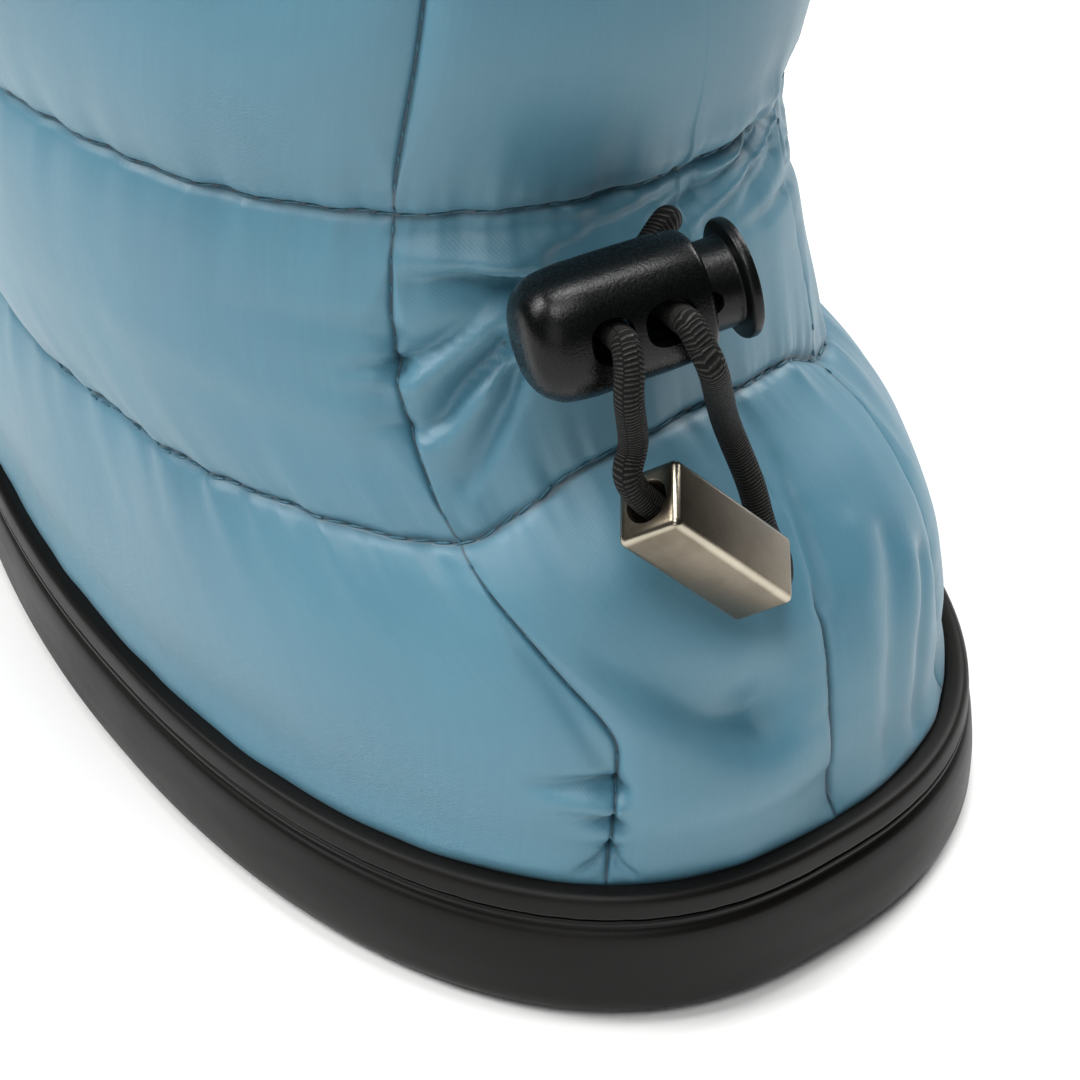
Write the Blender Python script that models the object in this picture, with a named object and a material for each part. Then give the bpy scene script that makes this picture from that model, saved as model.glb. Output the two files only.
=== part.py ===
"""Puffer bootie for the left foot: cup sole, insole, quilted upper, drawcord, cord lock and bead.

Lengths are in millimetres until they reach the mesh. Along the foot a station is measured forward from
the back of the heel, a side from the middle towards the wearer's left, a height from the floor.
"""
import math

import bmesh
import bpy
import numpy as np
from mathutils import Matrix, Vector

MM = 0.001
GAP = 0.3

# Sole: plan outline
SOLE_LENGTH = 151.0
LATERAL_HALF = 35.4
LATERAL_AT = 63.0
MEDIAL_HALF = 38.4
MEDIAL_AT = 64.0
HEEL_ROUND = 2.47
TOE_ROUND_LATERAL = 1.90
TOE_ROUND_MEDIAL = 2.50
TOE_SWING = 16.0
MEDIAL_FLARE = 2.4

# Sole: heights
CUP_FLOOR = 5.0
RIM_TOP = 13.4
RIM_INSET = 1.9
TOE_SPRING = 5.5
SPRING_FROM = 104.0
ARCH_LIFT = 1.4
ARCH_FROM = 54.0
ARCH_TO = 82.0

# Sole: tread pockets between the lugs, stations of each pocket along the foot
TREAD_DEPTH = 2.0
TREAD_BORDER = 7.0
TREAD_POCKETS = ((9.0, 17.0), (22.0, 30.0), (35.0, 43.0), (84.0, 90.0), (94.0, 100.0))

# Sole: side profile from the tread edge over the rim into the cup
SIDE_COLUMNS = ("inset", "height")
SIDE_ROWS = (
    (2.2, 0.0),
    (0.7, 0.45),
    (0.0, 1.6),
    (-0.25, 5.0),
    (-0.1, 9.2),
    (0.55, 9.75),
    (0.6, 10.15),
    (0.05, 10.5),
    (0.1, 10.95),
    (0.4, 11.15),
    (0.0, 11.5),
    (0.05, 12.9),
    (0.5, RIM_TOP),
    (RIM_INSET, RIM_TOP),
    (2.3, 12.9),
    (2.5, CUP_FLOOR),
)

# Upper: sections from the rim to the collar
UPPER_COLUMNS = ("height", "back", "front", "lateral", "medial", "widest", "heel_round", "toe_lateral", "toe_medial",
                 "swing")
UPPER_ROWS = (
    (13.4, 3.0, 147.8, 32.8, 35.4, 63.0, 2.45, 1.90, 2.50, 16.0),
    (20.0, 2.2, 148.4, 33.6, 35.6, 63.0, 2.45, 1.92, 2.50, 16.0),
    (26.0, 2.6, 146.8, 33.8, 34.8, 63.0, 2.42, 1.94, 2.45, 16.0),
    (32.0, 4.6, 142.5, 33.8, 33.6, 63.0, 2.38, 1.96, 2.40, 15.2),
    (38.0, 8.6, 135.5, 33.8, 31.8, 63.0, 2.32, 1.98, 2.32, 13.2),
    (45.0, 14.0, 126.0, 33.9, 29.4, 63.0, 2.25, 2.00, 2.24, 9.6),
    (54.0, 17.6, 116.5, 34.4, 27.4, 63.0, 2.20, 2.03, 2.16, 5.0),
    (60.0, 18.6, 111.8, 34.6, 27.4, 63.2, 2.18, 2.06, 2.12, 2.2),
    (66.0, 19.0, 108.2, 34.8, 29.4, 63.4, 2.18, 2.10, 2.10, 0.0),
    (80.0, 17.6, 108.6, 36.0, 31.0, 63.2, 2.15, 2.12, 2.12, 0.0),
    (94.0, 18.4, 107.6, 35.2, 30.2, 63.0, 2.12, 2.10, 2.10, 0.0),
    (118.0, 19.0, 107.0, 34.6, 29.6, 63.0, 2.10, 2.10, 2.10, 0.0),
)
WALL_IN = 4.2
WALL_DOWN = 2.5
FOOT_WALL = 3.0
COLLAR_TOP = 118.0

# Upper: lines of quilting, height at each angle round the foot from the middle of the heel
LOW_LINE = ((-180, 43.0), (-140, 40.0), (-101, 36.0), (-62, 40.0), (-38, 42.5), (-20, 46.5), (0, 47.6),
            (16, 46.2), (28, 43.4), (38, 41.0), (62, 39.6), (87, 36.8), (101, 35.2), (140, 39.0), (180, 43.0))
MID_LINE = 65.8
TOP_LINE = 94.0
PINCH_DEPTH = 2.2
PINCH_REACH = 4.0

# Upper: seams of the heel panel, angle at each height, and the dart up the middle of the heel
SEAM_COLUMNS = ("height", "lateral", "medial", "dart")
SEAM_ROWS = (
    (5.0, 27.0, -29.0, -1.5),
    (13.4, 27.0, -29.0, -1.5),
    (20.0, 26.2, -28.5, -1.5),
    (26.0, 25.4, -28.0, -1.8),
    (33.0, 31.5, -30.0, -2.4),
    (41.0, 38.0, -33.0, -2.5),
    (50.5, 39.5, -32.0, 0.0),
    (65.8, 37.0, -28.0, 0.0),
    (94.0, 34.5, -30.0, 0.0),
    (118.0, 34.0, -32.0, 0.0),
)
SEAM_DEPTH = 1.5
SEAM_REACH = 2.6
DART_TOP = 36.0

# Rows of facets across each band of the upper, as shares of the band
BAND_STEPS = (
    (0.0, 0.1, 0.25, 0.42, 0.6, 0.78, 0.91),
    (0.0, 0.12, 0.32, 0.5, 0.68, 0.88),
    (0.0, 0.11, 0.3, 0.5, 0.7, 0.89),
    (0.0, 0.12, 0.35, 0.6, 0.85),
)
HEEL_FACETS = 5
FLANK_FACETS = 22

# Cord lock: barrel, bore, cross holes and sprung push button, along the lock's own axis
LOCK_CENTRE = (12.95, 12.85, 61.55)
LOCK_AXIS = (-0.285, -0.945, 0.12)
LOCK_OUT = (-0.933, 0.294, 0.209)
BARREL_COLUMNS = ("along", "half_height", "half_depth")
BARREL_ROWS = (
    (-7.25, 1.5, 1.4),
    (-7.0, 2.8, 2.6),
    (-6.2, 4.0, 3.6),
    (-4.8, 4.75, 4.2),
    (-2.4, 4.95, 4.4),
    (2.5, 4.9, 4.4),
    (6.25, 4.65, 4.3),
    (6.6, 4.4, 4.05),
)
BARREL_ROUND = 2.3
BARREL_FACETS = 28
BORE_RADIUS = 3.2
BORE_END = -5.3
MOUTH_RADIUS = 3.7
MOUTH_FROM = 4.4
CROSS_HOLES = (-0.8, 3.95)
CROSS_RADIUS = 1.4
STEM_RADIUS = 2.9
STEM_END = -3.3
COLLAR_FROM = 6.3
COLLAR_RADIUS = 3.4
FLANGE_AT = 9.2
FLANGE_THICK = 1.0
FLANGE_RADIUS = 4.55
WINDOW = (-2.5, 7.2)
WINDOW_HALF = 1.45

# Bead on the loop of the drawcord
BEAD_CENTRE = (5.5, 9.8, 44.5)
BEAD_AXIS = (-0.129, -0.676, -0.726)
BEAD_SIDE = (0.705, -0.577, 0.412)
BEAD_SIZE = (15.0, 5.8, 5.5)
BEAD_EDGE = 0.6
BEAD_HOLE = 1.4

# Drawcord: out of the casing, through the lock, through the bead and back
CORD_RADIUS = 1.1
CORD_STEP = 1.6
CORD_COLUMNS = ("along", "out", "up")
CORD_BACK_NEAR = ((0.0, -7.9, 0.0), (0.0, -5.4, 0.0), (0.0, -3.8, 0.0))
CORD_BACK_FAR = ((4.25, -8.0, 2.7), (3.7, -7.2, 2.9), (2.3, -6.7, 2.0), (0.6, -6.1, 0.7), (0.0, -5.0, 0.1),
                 (0.0, -3.6, 0.0))
CORD_FRONT_NEAR = ((0.0, 4.2, 0.0), (-0.15, 5.5, -0.25), (-0.5, 6.3, -1.5), (-1.0, 6.4, -3.6))
CORD_FRONT_FAR = ((0.0, 4.2, 0.0), (0.1, 5.5, -0.25), (0.3, 6.3, -1.5), (0.8, 6.3, -3.8))
CORD_NEAR = ((7.2, 15.5, 55.0), (6.8, 16.3, 52.6))
CORD_TURN = ((8.8, 0.2, 0.0), (9.5, 1.5, 0.0), (9.2, 3.2, 0.0), (7.6, 4.5, 0.0))
CORD_FAR = ((8.9, 2.6, 45.0), (9.6, 4.6, 51.0))


def monotone(stations, values, at):
    """Read a smooth curve through a table without overshoot."""
    xs = np.asarray(stations, float)
    ys = np.asarray(values, float)
    at = np.clip(np.asarray(at, float), xs[0], xs[-1])
    span = np.diff(xs)
    rise = np.diff(ys) / span
    slope = np.zeros_like(ys)
    slope[0], slope[-1] = rise[0], rise[-1]
    for i in range(1, len(xs) - 1):
        if rise[i - 1] * rise[i] > 0.0:
            w1 = 2.0 * span[i] + span[i - 1]
            w2 = span[i] + 2.0 * span[i - 1]
            slope[i] = (w1 + w2) / (w1 / rise[i - 1] + w2 / rise[i])
    k = np.clip(np.searchsorted(xs, at) - 1, 0, len(xs) - 2)
    t = (at - xs[k]) / span[k]
    low = (1.0 + 2.0 * t) * (1.0 - t) ** 2 * ys[k] + t * (1.0 - t) ** 2 * span[k] * slope[k]
    high = t * t * (3.0 - 2.0 * t) * ys[k + 1] + t * t * (t - 1.0) * span[k] * slope[k + 1]
    return low + high


def table(rows, columns):
    """Columns of a table by name."""
    return dict(zip(columns, np.array(rows, float).T))


def section(angle, back, front, lateral, medial, lateral_at, medial_at, heel_round, toe_lateral, toe_medial, swing):
    """Plan section of the foot: station and side at each angle from the middle of the heel."""
    c = np.cos(angle)
    s = np.sin(angle)
    half = np.where(s >= 0.0, lateral, medial)
    at = np.where(s >= 0.0, lateral_at, medial_at)
    power = np.where(c >= 0.0, heel_round, np.where(s >= 0.0, toe_lateral, toe_medial))
    reach = np.where(c >= 0.0, at - back, front - at)
    station = at - np.sign(c) * reach * np.abs(c) ** (2.0 / power)
    side = np.sign(s) * half * np.abs(s) ** (2.0 / power)
    return station, side - swing * (np.clip(station, 0.0, None) / SOLE_LENGTH) ** 2


def inset(station, side, amount):
    """Move a closed plan loop inwards by an amount."""
    ds = np.roll(station, -1) - np.roll(station, 1)
    dw = np.roll(side, -1) - np.roll(side, 1)
    size = np.hypot(ds, dw)
    turn = np.sign(np.sum(station * np.roll(side, -1) - np.roll(station, -1) * side))
    return station - turn * amount * dw / size, side + turn * amount * ds / size


def sole_loop(angle, amount, height):
    """Loop of the sole's side at an inset and a height."""
    flare = MEDIAL_FLARE * max(0.0, 1.0 - height / RIM_TOP)
    station, side = section(angle, 0.0, SOLE_LENGTH, LATERAL_HALF, MEDIAL_HALF + flare, LATERAL_AT, MEDIAL_AT,
                            HEEL_ROUND, TOE_ROUND_LATERAL, TOE_ROUND_MEDIAL, TOE_SWING)
    return inset(station, side, amount)


def toe_lift(station):
    """Toe spring at a station."""
    share = np.clip((station - SPRING_FROM) / (SOLE_LENGTH - SPRING_FROM), 0.0, None)
    return TOE_SPRING * share ** 2


def arch_lift(station, side):
    """Arch under the medial side at a place on the tread."""
    along = np.clip((station - ARCH_FROM) / (ARCH_TO - ARCH_FROM), 0.0, 1.0)
    across = np.clip((8.0 - side) / 30.0, 0.0, 1.0)
    return ARCH_LIFT * np.sin(math.pi * along) ** 2 * across * across * (3.0 - 2.0 * across)


UPPER = table(UPPER_ROWS, UPPER_COLUMNS)
SEAMS = table(SEAM_ROWS, SEAM_COLUMNS)


def upper_section(angle, height):
    """Station and side of the upper's smooth envelope."""
    read = {name: monotone(UPPER["height"], UPPER[name], height) for name in UPPER_COLUMNS[1:]}
    return section(angle, read["back"], read["front"], read["lateral"], read["medial"], read["widest"],
                   read["widest"], read["heel_round"], read["toe_lateral"], read["toe_medial"], read["swing"])


def low_line(angle):
    """Height of the lowest line of quilting."""
    turn = (np.degrees(angle) + 180.0) % 360.0 - 180.0
    rows = np.array(LOW_LINE)
    return monotone(rows[:, 0], rows[:, 1], turn)


def seam_angle(name, height):
    """Angle of a heel-panel seam at a height."""
    return np.radians(monotone(SEAMS["height"], SEAMS[name], height))


def column_angle(share, height):
    """Angle of a facet column: shares 0, 1, 2, 3, 4 are dart, lateral seam, toe, medial seam, dart."""
    dart = seam_angle("dart", height)
    knots = (dart, seam_angle("lateral", height), np.full_like(dart, math.pi),
             2.0 * math.pi + seam_angle("medial", height), 2.0 * math.pi + dart)
    k = min(int(share), 3)
    return knots[k] + (share - k) * (knots[k + 1] - knots[k])


def pinch(angle, height):
    """Depth of the quilting and the seams under the envelope."""
    sag = np.zeros_like(height)
    for line in (low_line(angle), MID_LINE, TOP_LINE):
        sag = np.maximum(sag, PINCH_DEPTH * np.exp(-np.abs(height - line) / PINCH_REACH))
    for name in ("lateral", "medial", "dart"):
        turn = (angle - seam_angle(name, height) + math.pi) % (2.0 * math.pi) - math.pi
        depth = SEAM_DEPTH * np.exp(-np.abs(turn) * 34.0 / SEAM_REACH)
        depth = depth * np.clip((COLLAR_TOP - 3.0 - height) / 10.0, 0.0, 1.0)
        if name == "dart":
            depth = depth * np.clip((DART_TOP - height) / 6.0, 0.0, 1.0)
        sag = np.maximum(sag, depth)
    return sag * np.clip((height - RIM_TOP) / 3.0, 0.0, 1.0)


def upper_loop(shares, height, depth):
    """Loop of the upper at a height, or a height for each column, sunk by a depth below the envelope."""
    shares = np.asarray(shares, float)
    height = np.broadcast_to(np.asarray(height, float), shares.shape)
    angle = np.array([column_angle(s, h) for s, h in zip(shares, height)])
    station, side = upper_section(angle, height)
    sunk_station, sunk_side = inset(station, side, 1.0)
    station = station + (sunk_station - station) * depth(angle, height)
    side = side + (sunk_side - side) * depth(angle, height)
    return np.stack([station, side, height + toe_lift(station) * np.clip((40.0 - height) / 20.0, 0.0, 1.0)], 1)


def upper_shares():
    """Facet columns round the upper, aligned with the seams."""
    heel = np.linspace(0.0, 1.0, HEEL_FACETS, endpoint=False)
    flank = np.linspace(1.0, 2.0, FLANK_FACETS, endpoint=False)
    return np.concatenate([heel, flank, flank + 1.0, heel + 3.0])


def foot_angles():
    """Angles of the facet columns where the upper meets the sole."""
    return np.array([column_angle(s, np.array(RIM_TOP)) for s in upper_shares()])


def sole_rings():
    """Cup sole: lugs, arch, toe spring, ribbed side, rim and cup."""
    angle = foot_angles()
    rings = []
    station, side = sole_loop(angle, SIDE_ROWS[0][0], 0.0)
    for share in (0.12, 0.42, 0.72):
        a = 72.0 + share * (station - 72.0)
        w = share * (side + 3.0) - 3.0
        rings.append(np.stack([a, w, toe_lift(a) + arch_lift(a, w)], 1))
    for amount, height in SIDE_ROWS:
        a, w = sole_loop(angle, amount, height)
        low = max(0.0, 1.0 - height / 5.0)
        rings.append(np.stack([a, w, height + toe_lift(a) + low * arch_lift(a, w)], 1))
    station, side = sole_loop(angle, SIDE_ROWS[-1][0], CUP_FLOOR)
    for share in (0.6, 0.2):
        a = 72.0 + share * (station - 72.0)
        w = share * (side + 3.0) - 3.0
        rings.append(np.stack([a, w, CUP_FLOOR + toe_lift(a)], 1))
    return rings


def upper_rings():
    """Loops of the upper: up the outside from the cup, over the turned hem and down the inside."""
    shares = upper_shares()
    foot = foot_angles()
    rings = []

    def cup_ring(amount, height):
        a, w = sole_loop(foot, amount, height)
        rings.append(np.stack([a, w, height + toe_lift(a)], 1))

    outer = SIDE_ROWS[-1][0] + GAP
    cup_ring(outer, CUP_FLOOR + GAP)
    cup_ring(outer, 12.2)
    line = low_line(np.array([column_angle(s, np.array(42.0)) for s in shares]))
    limits = (np.full_like(line, RIM_TOP), line, np.full_like(line, MID_LINE), np.full_like(line, TOP_LINE),
              np.full_like(line, COLLAR_TOP))
    for low, high, steps in zip(limits, limits[1:], BAND_STEPS):
        for step in steps:
            rings.append(upper_loop(shares, low + step * (high - low), pinch))
    for drop, depth in ((1.4, 0.3), (0.0, 1.5), (0.0, 3.2), (1.4, 4.2)):
        rings.append(upper_loop(shares, COLLAR_TOP - drop, lambda angle, height, d=depth: np.full_like(height, d)))
    for height in (104.0, 90.0, 78.0, 68.0, 60.0, 52.0, 45.0, 38.0, 32.0, 26.0, 20.0):
        ring = upper_loop(shares, height + WALL_DOWN, lambda angle, h: np.full_like(h, WALL_IN))
        ring[:, 2] -= WALL_DOWN
        rings.append(ring)
    cup_ring(outer + FOOT_WALL + 0.8, 14.0)
    cup_ring(outer + FOOT_WALL, 10.0)
    cup_ring(outer + FOOT_WALL, CUP_FLOOR + GAP)
    return rings


EXTENT = np.vstack(sole_rings() + upper_rings())
MID_STATION = 0.5 * (EXTENT[:, 0].min() + EXTENT[:, 0].max())
MID_SIDE = 0.5 * (EXTENT[:, 1].min() + EXTENT[:, 1].max())


def world(points):
    """Frame of the part: middle of the outline at the origin, toe towards -Y, wearer's left at +X."""
    points = np.asarray(points, float)
    return np.stack([points[..., 1] - MID_SIDE, MID_STATION - points[..., 0], points[..., 2]], -1) * MM


# Building the solids
def clear_scene():
    """Remove every object."""
    for obj in list(bpy.data.objects):
        bpy.data.objects.remove(obj, do_unlink=True)


def material(name, colour, roughness, metallic=0.0):
    """Plain surface for one node."""
    mat = bpy.data.materials.new(name)
    mat.use_nodes = True
    shader = mat.node_tree.nodes["Principled BSDF"]
    shader.inputs["Base Color"].default_value = (*colour, 1.0)
    shader.inputs["Roughness"].default_value = roughness
    shader.inputs["Metallic"].default_value = metallic
    return mat


def node(name, bm, mat=None):
    """Turn a bmesh into a named object."""
    bmesh.ops.recalc_face_normals(bm, faces=bm.faces)
    mesh = bpy.data.meshes.new(name)
    bm.to_mesh(mesh)
    bm.free()
    obj = bpy.data.objects.new(name, mesh)
    bpy.context.scene.collection.objects.link(obj)
    if mat is not None:
        mesh.materials.append(mat)
    return obj


def loft(rings, closed=False):
    """Skin a stack of loops: closed into a ring of loops, or capped at both ends."""
    bm = bmesh.new()
    loops = [[bm.verts.new(tuple(p)) for p in world(ring)] for ring in rings]
    pairs = list(zip(loops, loops[1:] + loops[:1])) if closed else list(zip(loops, loops[1:]))
    for low, high in pairs:
        for i in range(len(low)):
            j = (i + 1) % len(low)
            bm.faces.new((low[i], low[j], high[j], high[i]))
    if not closed:
        bm.faces.new(loops[0])
        bm.faces.new(loops[-1])
    return bm


def seat(obj, place):
    """Put an object's origin at a place of the shoe, with its shape left where it is."""
    spot = Vector(world(place).tolist())
    obj.data.transform(Matrix.Translation(-spot))
    obj.location = spot


def carve(obj, cutter):
    """Cut one solid out of another and drop the cutter."""
    cutter.hide_render = True
    cutter.display_type = "WIRE"
    cut = obj.modifiers.new("cut", "BOOLEAN")
    cut.operation = "DIFFERENCE"
    cut.solver = "EXACT"
    cut.object = cutter
    bpy.context.view_layer.update()
    mesh = bpy.data.meshes.new_from_object(obj.evaluated_get(bpy.context.evaluated_depsgraph_get()))
    obj.modifiers.clear()
    mesh.name = obj.name
    obj.data = mesh
    bpy.data.objects.remove(cutter, do_unlink=True)


def unit(vector):
    """Unit vector."""
    return np.asarray(vector, float) / np.linalg.norm(vector)


class Frame:
    """Local frame of a small hard piece: along its axis, out from the heel, and up."""

    def __init__(self, centre, axis, out):
        self.centre = np.asarray(centre, float)
        self.axis = unit(axis)
        self.out = unit(np.asarray(out) - np.dot(out, self.axis) * self.axis)
        self.up = np.cross(self.out, self.axis)

    def place(self, along, out, up):
        """Point of the frame in stations, sides and heights."""
        return self.centre + along * self.axis + out * self.out + up * self.up

    def ring(self, along, half_out, half_up, count, power=2.0):
        """Rounded loop across the axis."""
        turns = np.linspace(0.0, 2.0 * math.pi, count, endpoint=False)
        outs = half_out * np.sign(np.cos(turns)) * np.abs(np.cos(turns)) ** (2.0 / power)
        ups = half_up * np.sign(np.sin(turns)) * np.abs(np.sin(turns)) ** (2.0 / power)
        return [self.place(along, o, u) for o, u in zip(outs, ups)]

    def cross_ring(self, along, out, radius, count):
        """Round loop across the outward direction."""
        turns = np.linspace(0.0, 2.0 * math.pi, count, endpoint=False) + 0.11
        return [self.place(along + radius * math.cos(t), out, radius * math.sin(t)) for t in turns]


def build_outsole():
    """Cup sole with the tread pockets cut between its lugs."""
    rings = sole_rings()
    sole = node("outsole", loft(rings), material("outsole_rubber", (0.012, 0.012, 0.012), 0.55))
    cutter = bmesh.new()
    fine = np.linspace(0.0, 2.0 * math.pi, 720, endpoint=False)
    station, side = sole_loop(fine, TREAD_BORDER, 0.0)
    left = fine < math.pi
    for start, end in TREAD_POCKETS:
        stops = np.linspace(start, end, 4)
        edges = []
        for part in (left, ~left):
            order = np.argsort(station[part])
            edges.append(np.interp(stops, station[part][order], side[part][order]))
        plan = list(zip(stops, edges[0])) + list(zip(stops[::-1], edges[1][::-1]))
        loops = [[cutter.verts.new(tuple(world((a, w, h)))) for a, w in plan] for h in (-1.0, TREAD_DEPTH)]
        for i in range(len(plan)):
            j = (i + 1) % len(plan)
            cutter.faces.new((loops[0][i], loops[0][j], loops[1][j], loops[1][i]))
        cutter.faces.new(loops[0])
        cutter.faces.new(loops[1])
    carve(sole, node("tread_cutter", cutter))


def build_upper():
    """Quilted upper: one padded wall, open at the collar and underneath."""
    rings = upper_rings()
    return node("upper", loft(rings, closed=True), material("upper_nylon", (0.19, 0.34, 0.44), 0.5))


def build_insole():
    """Flat insole on the floor of the cup."""
    angle = foot_angles()
    amount = SIDE_ROWS[-1][0] + 2.0 * GAP + FOOT_WALL
    rings = []
    for share, height in ((0.35, 0.3), (1.0, 0.3), (1.0, 3.3), (0.97, 3.8), (0.35, 3.8)):
        station, side = sole_loop(angle, amount, CUP_FLOOR + height)
        a = 72.0 + share * (station - 72.0)
        w = share * (side + 3.0) - 3.0
        rings.append(np.stack([a, w, CUP_FLOOR + height + toe_lift(a)], 1))
    return node("insole", loft(rings), material("insole_felt", (0.05, 0.05, 0.055), 0.9))


def build_lock():
    """Barrel with its bore and cross holes, and the push button with its window for the cord."""
    frame = Frame(LOCK_CENTRE, LOCK_AXIS, LOCK_OUT)
    rows = [frame.ring(along, depth, height, BARREL_FACETS, BARREL_ROUND) for along, height, depth in BARREL_ROWS]
    barrel = node("lock_barrel", loft(rows), material("lock_plastic", (0.015, 0.015, 0.016), 0.45))
    for along in CROSS_HOLES:
        hole = [frame.cross_ring(along, out, CROSS_RADIUS, 14) for out in (-6.0, 6.0)]
        carve(barrel, node("hole_cutter", loft(hole)))
    bore = [frame.ring(along, BORE_RADIUS, BORE_RADIUS, 26) for along in (BORE_END, 8.6)]
    carve(barrel, node("bore_cutter", loft(bore)))
    mouth = [frame.ring(along, MOUTH_RADIUS, MOUTH_RADIUS, 26) for along in (MOUTH_FROM, 8.6)]
    carve(barrel, node("mouth_cutter", loft(mouth)))
    seat(barrel, LOCK_CENTRE)
    rows = [frame.ring(along, radius, radius, 26) for along, radius in (
        (STEM_END, STEM_RADIUS - 0.4),
        (STEM_END + 0.4, STEM_RADIUS),
        (COLLAR_FROM, STEM_RADIUS),
        (COLLAR_FROM + 0.2, COLLAR_RADIUS),
        (FLANGE_AT, COLLAR_RADIUS),
        (FLANGE_AT, FLANGE_RADIUS - 0.2),
        (FLANGE_AT + 0.25, FLANGE_RADIUS),
        (FLANGE_AT + 0.75, FLANGE_RADIUS),
        (FLANGE_AT + FLANGE_THICK, FLANGE_RADIUS - 0.3),
    )]
    button = node("lock_button", loft(rows), material("button_plastic", (0.017, 0.017, 0.018), 0.42))
    slot = [[frame.place(along, out, up) for along, up in (
        (WINDOW[0], -WINDOW_HALF), (WINDOW[1], -WINDOW_HALF), (WINDOW[1], WINDOW_HALF), (WINDOW[0], WINDOW_HALF))]
        for out in (-5.0, 5.0)]
    carve(button, node("window_cutter", loft(slot)))
    seat(button, LOCK_CENTRE)
    return frame


def build_bead():
    """Metal block with soft edges and a hole through its length."""
    frame = Frame(BEAD_CENTRE, BEAD_AXIS, BEAD_SIDE)
    half = np.asarray(BEAD_SIZE) / 2.0
    block = [[frame.place(along, out, up) for out, up in (
        (-half[1], -half[2]), (half[1], -half[2]), (half[1], half[2]), (-half[1], half[2]))]
        for along in (-half[0], half[0])]
    bm = loft(block)
    bmesh.ops.bevel(bm, geom=list(bm.edges), offset=BEAD_EDGE * MM, segments=2, profile=0.5, affect="EDGES",
                    material=-1)
    bead = node("bead", bm, material("bead_metal", (0.42, 0.38, 0.33), 0.38, 1.0))
    hole = [frame.ring(along, BEAD_HOLE, BEAD_HOLE, 20) for along in (-9.0, 9.0)]
    carve(bead, node("bead_cutter", loft(hole)))
    seat(bead, BEAD_CENTRE)
    return frame


def smooth_route(points, step):
    """Evenly spaced points on a smooth curve through a route."""
    route = np.asarray(points, float)
    padded = np.vstack([2.0 * route[0] - route[1], route, 2.0 * route[-1] - route[-2]])
    fine = []
    for i in range(len(route) - 1):
        p0, p1, p2, p3 = padded[i:i + 4]
        for t in np.linspace(0.0, 1.0, 24, endpoint=False):
            fine.append(0.5 * (2.0 * p1 + (p2 - p0) * t + (2.0 * p0 - 5.0 * p1 + 4.0 * p2 - p3) * t * t
                               + (3.0 * p1 - p0 - 3.0 * p2 + p3) * t ** 3))
    fine.append(route[-1])
    fine = np.array(fine)
    run = np.concatenate([[0.0], np.cumsum(np.linalg.norm(np.diff(fine, axis=0), axis=1))])
    stops = np.linspace(0.0, run[-1], int(round(run[-1] / step)) + 1)
    return np.stack([np.interp(stops, run, fine[:, k]) for k in range(3)], 1)


def build_cord(lock, bead):
    """Elastic drawcord, both ends in the casing behind the lock."""
    near, far = CROSS_HOLES
    half = BEAD_SIZE[0] / 2.0
    route = [lock.place(near + along, out, up) for along, out, up in CORD_BACK_NEAR + CORD_FRONT_NEAR]
    route += list(CORD_NEAR)
    route += [bead.place(along, 0.0, 0.0) for along in (-half, -2.5, 2.5, half)]
    route += [bead.place(*turn) for turn in CORD_TURN]
    route += list(CORD_FAR)
    route += [lock.place(far + along, out, up) for along, out, up in (CORD_BACK_FAR + CORD_FRONT_FAR)[::-1]]
    points = smooth_route(route, CORD_STEP)
    curve = bpy.data.curves.new("drawcord", "CURVE")
    curve.dimensions = "3D"
    curve.bevel_depth = CORD_RADIUS * MM
    curve.bevel_resolution = 2
    curve.use_fill_caps = True
    spline = curve.splines.new("POLY")
    spline.points.add(len(points) - 1)
    for target, place in zip(spline.points, world(points)):
        target.co = (*place, 1.0)
    curve.materials.append(material("cord_elastic", (0.012, 0.012, 0.013), 0.7))
    obj = bpy.data.objects.new("drawcord", curve)
    bpy.context.scene.collection.objects.link(obj)
    return obj


clear_scene()
build_outsole()
build_insole()
build_upper()
build_cord(build_lock(), build_bead())
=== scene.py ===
"""Puffer bootie in a pale studio: quilted nylon upper, black cup sole, drawcord with its lock and bead.

Lengths are in millimetres until they reach a mesh. A station runs forward from the back of the heel, a side
towards the wearer's left and a height up from the floor. An angle turns round the foot from the middle of the heel.
"""
import logging
import math
from dataclasses import dataclass, field
from enum import Enum
from typing import Any, NamedTuple, Sequence

import bmesh
import bpy
import numpy as np
from mathutils import Matrix, Vector


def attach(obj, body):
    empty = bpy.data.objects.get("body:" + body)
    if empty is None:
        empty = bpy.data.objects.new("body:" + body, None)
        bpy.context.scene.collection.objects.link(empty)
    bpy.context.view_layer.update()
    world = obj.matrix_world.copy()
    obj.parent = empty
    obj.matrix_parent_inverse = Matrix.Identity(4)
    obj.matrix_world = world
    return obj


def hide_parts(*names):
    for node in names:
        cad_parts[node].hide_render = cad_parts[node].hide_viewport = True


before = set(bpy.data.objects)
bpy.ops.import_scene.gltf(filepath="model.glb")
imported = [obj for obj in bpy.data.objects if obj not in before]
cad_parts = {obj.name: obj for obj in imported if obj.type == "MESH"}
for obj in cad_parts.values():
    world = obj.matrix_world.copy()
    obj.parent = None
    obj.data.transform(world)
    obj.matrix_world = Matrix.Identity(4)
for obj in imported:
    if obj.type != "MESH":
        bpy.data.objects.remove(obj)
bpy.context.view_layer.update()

MM = 0.001
TAU = 2.0 * math.pi
LOG = logging.getLogger("bootie")
Array = np.ndarray


class Shell(Enum):
    """Faces of the upper's wall, by material slot."""

    NYLON = 0
    LINING = 1


class Fold(Enum):
    """Which way a fold of the fabric goes."""

    TROUGH = -1.0
    RIDGE = 1.0


class Seam(Enum):
    """Seams of the heel panel, by the share of the facet columns that they follow."""

    DART = 0.0
    LATERAL = 1.0
    MEDIAL = 3.0


# Small tools


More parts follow.
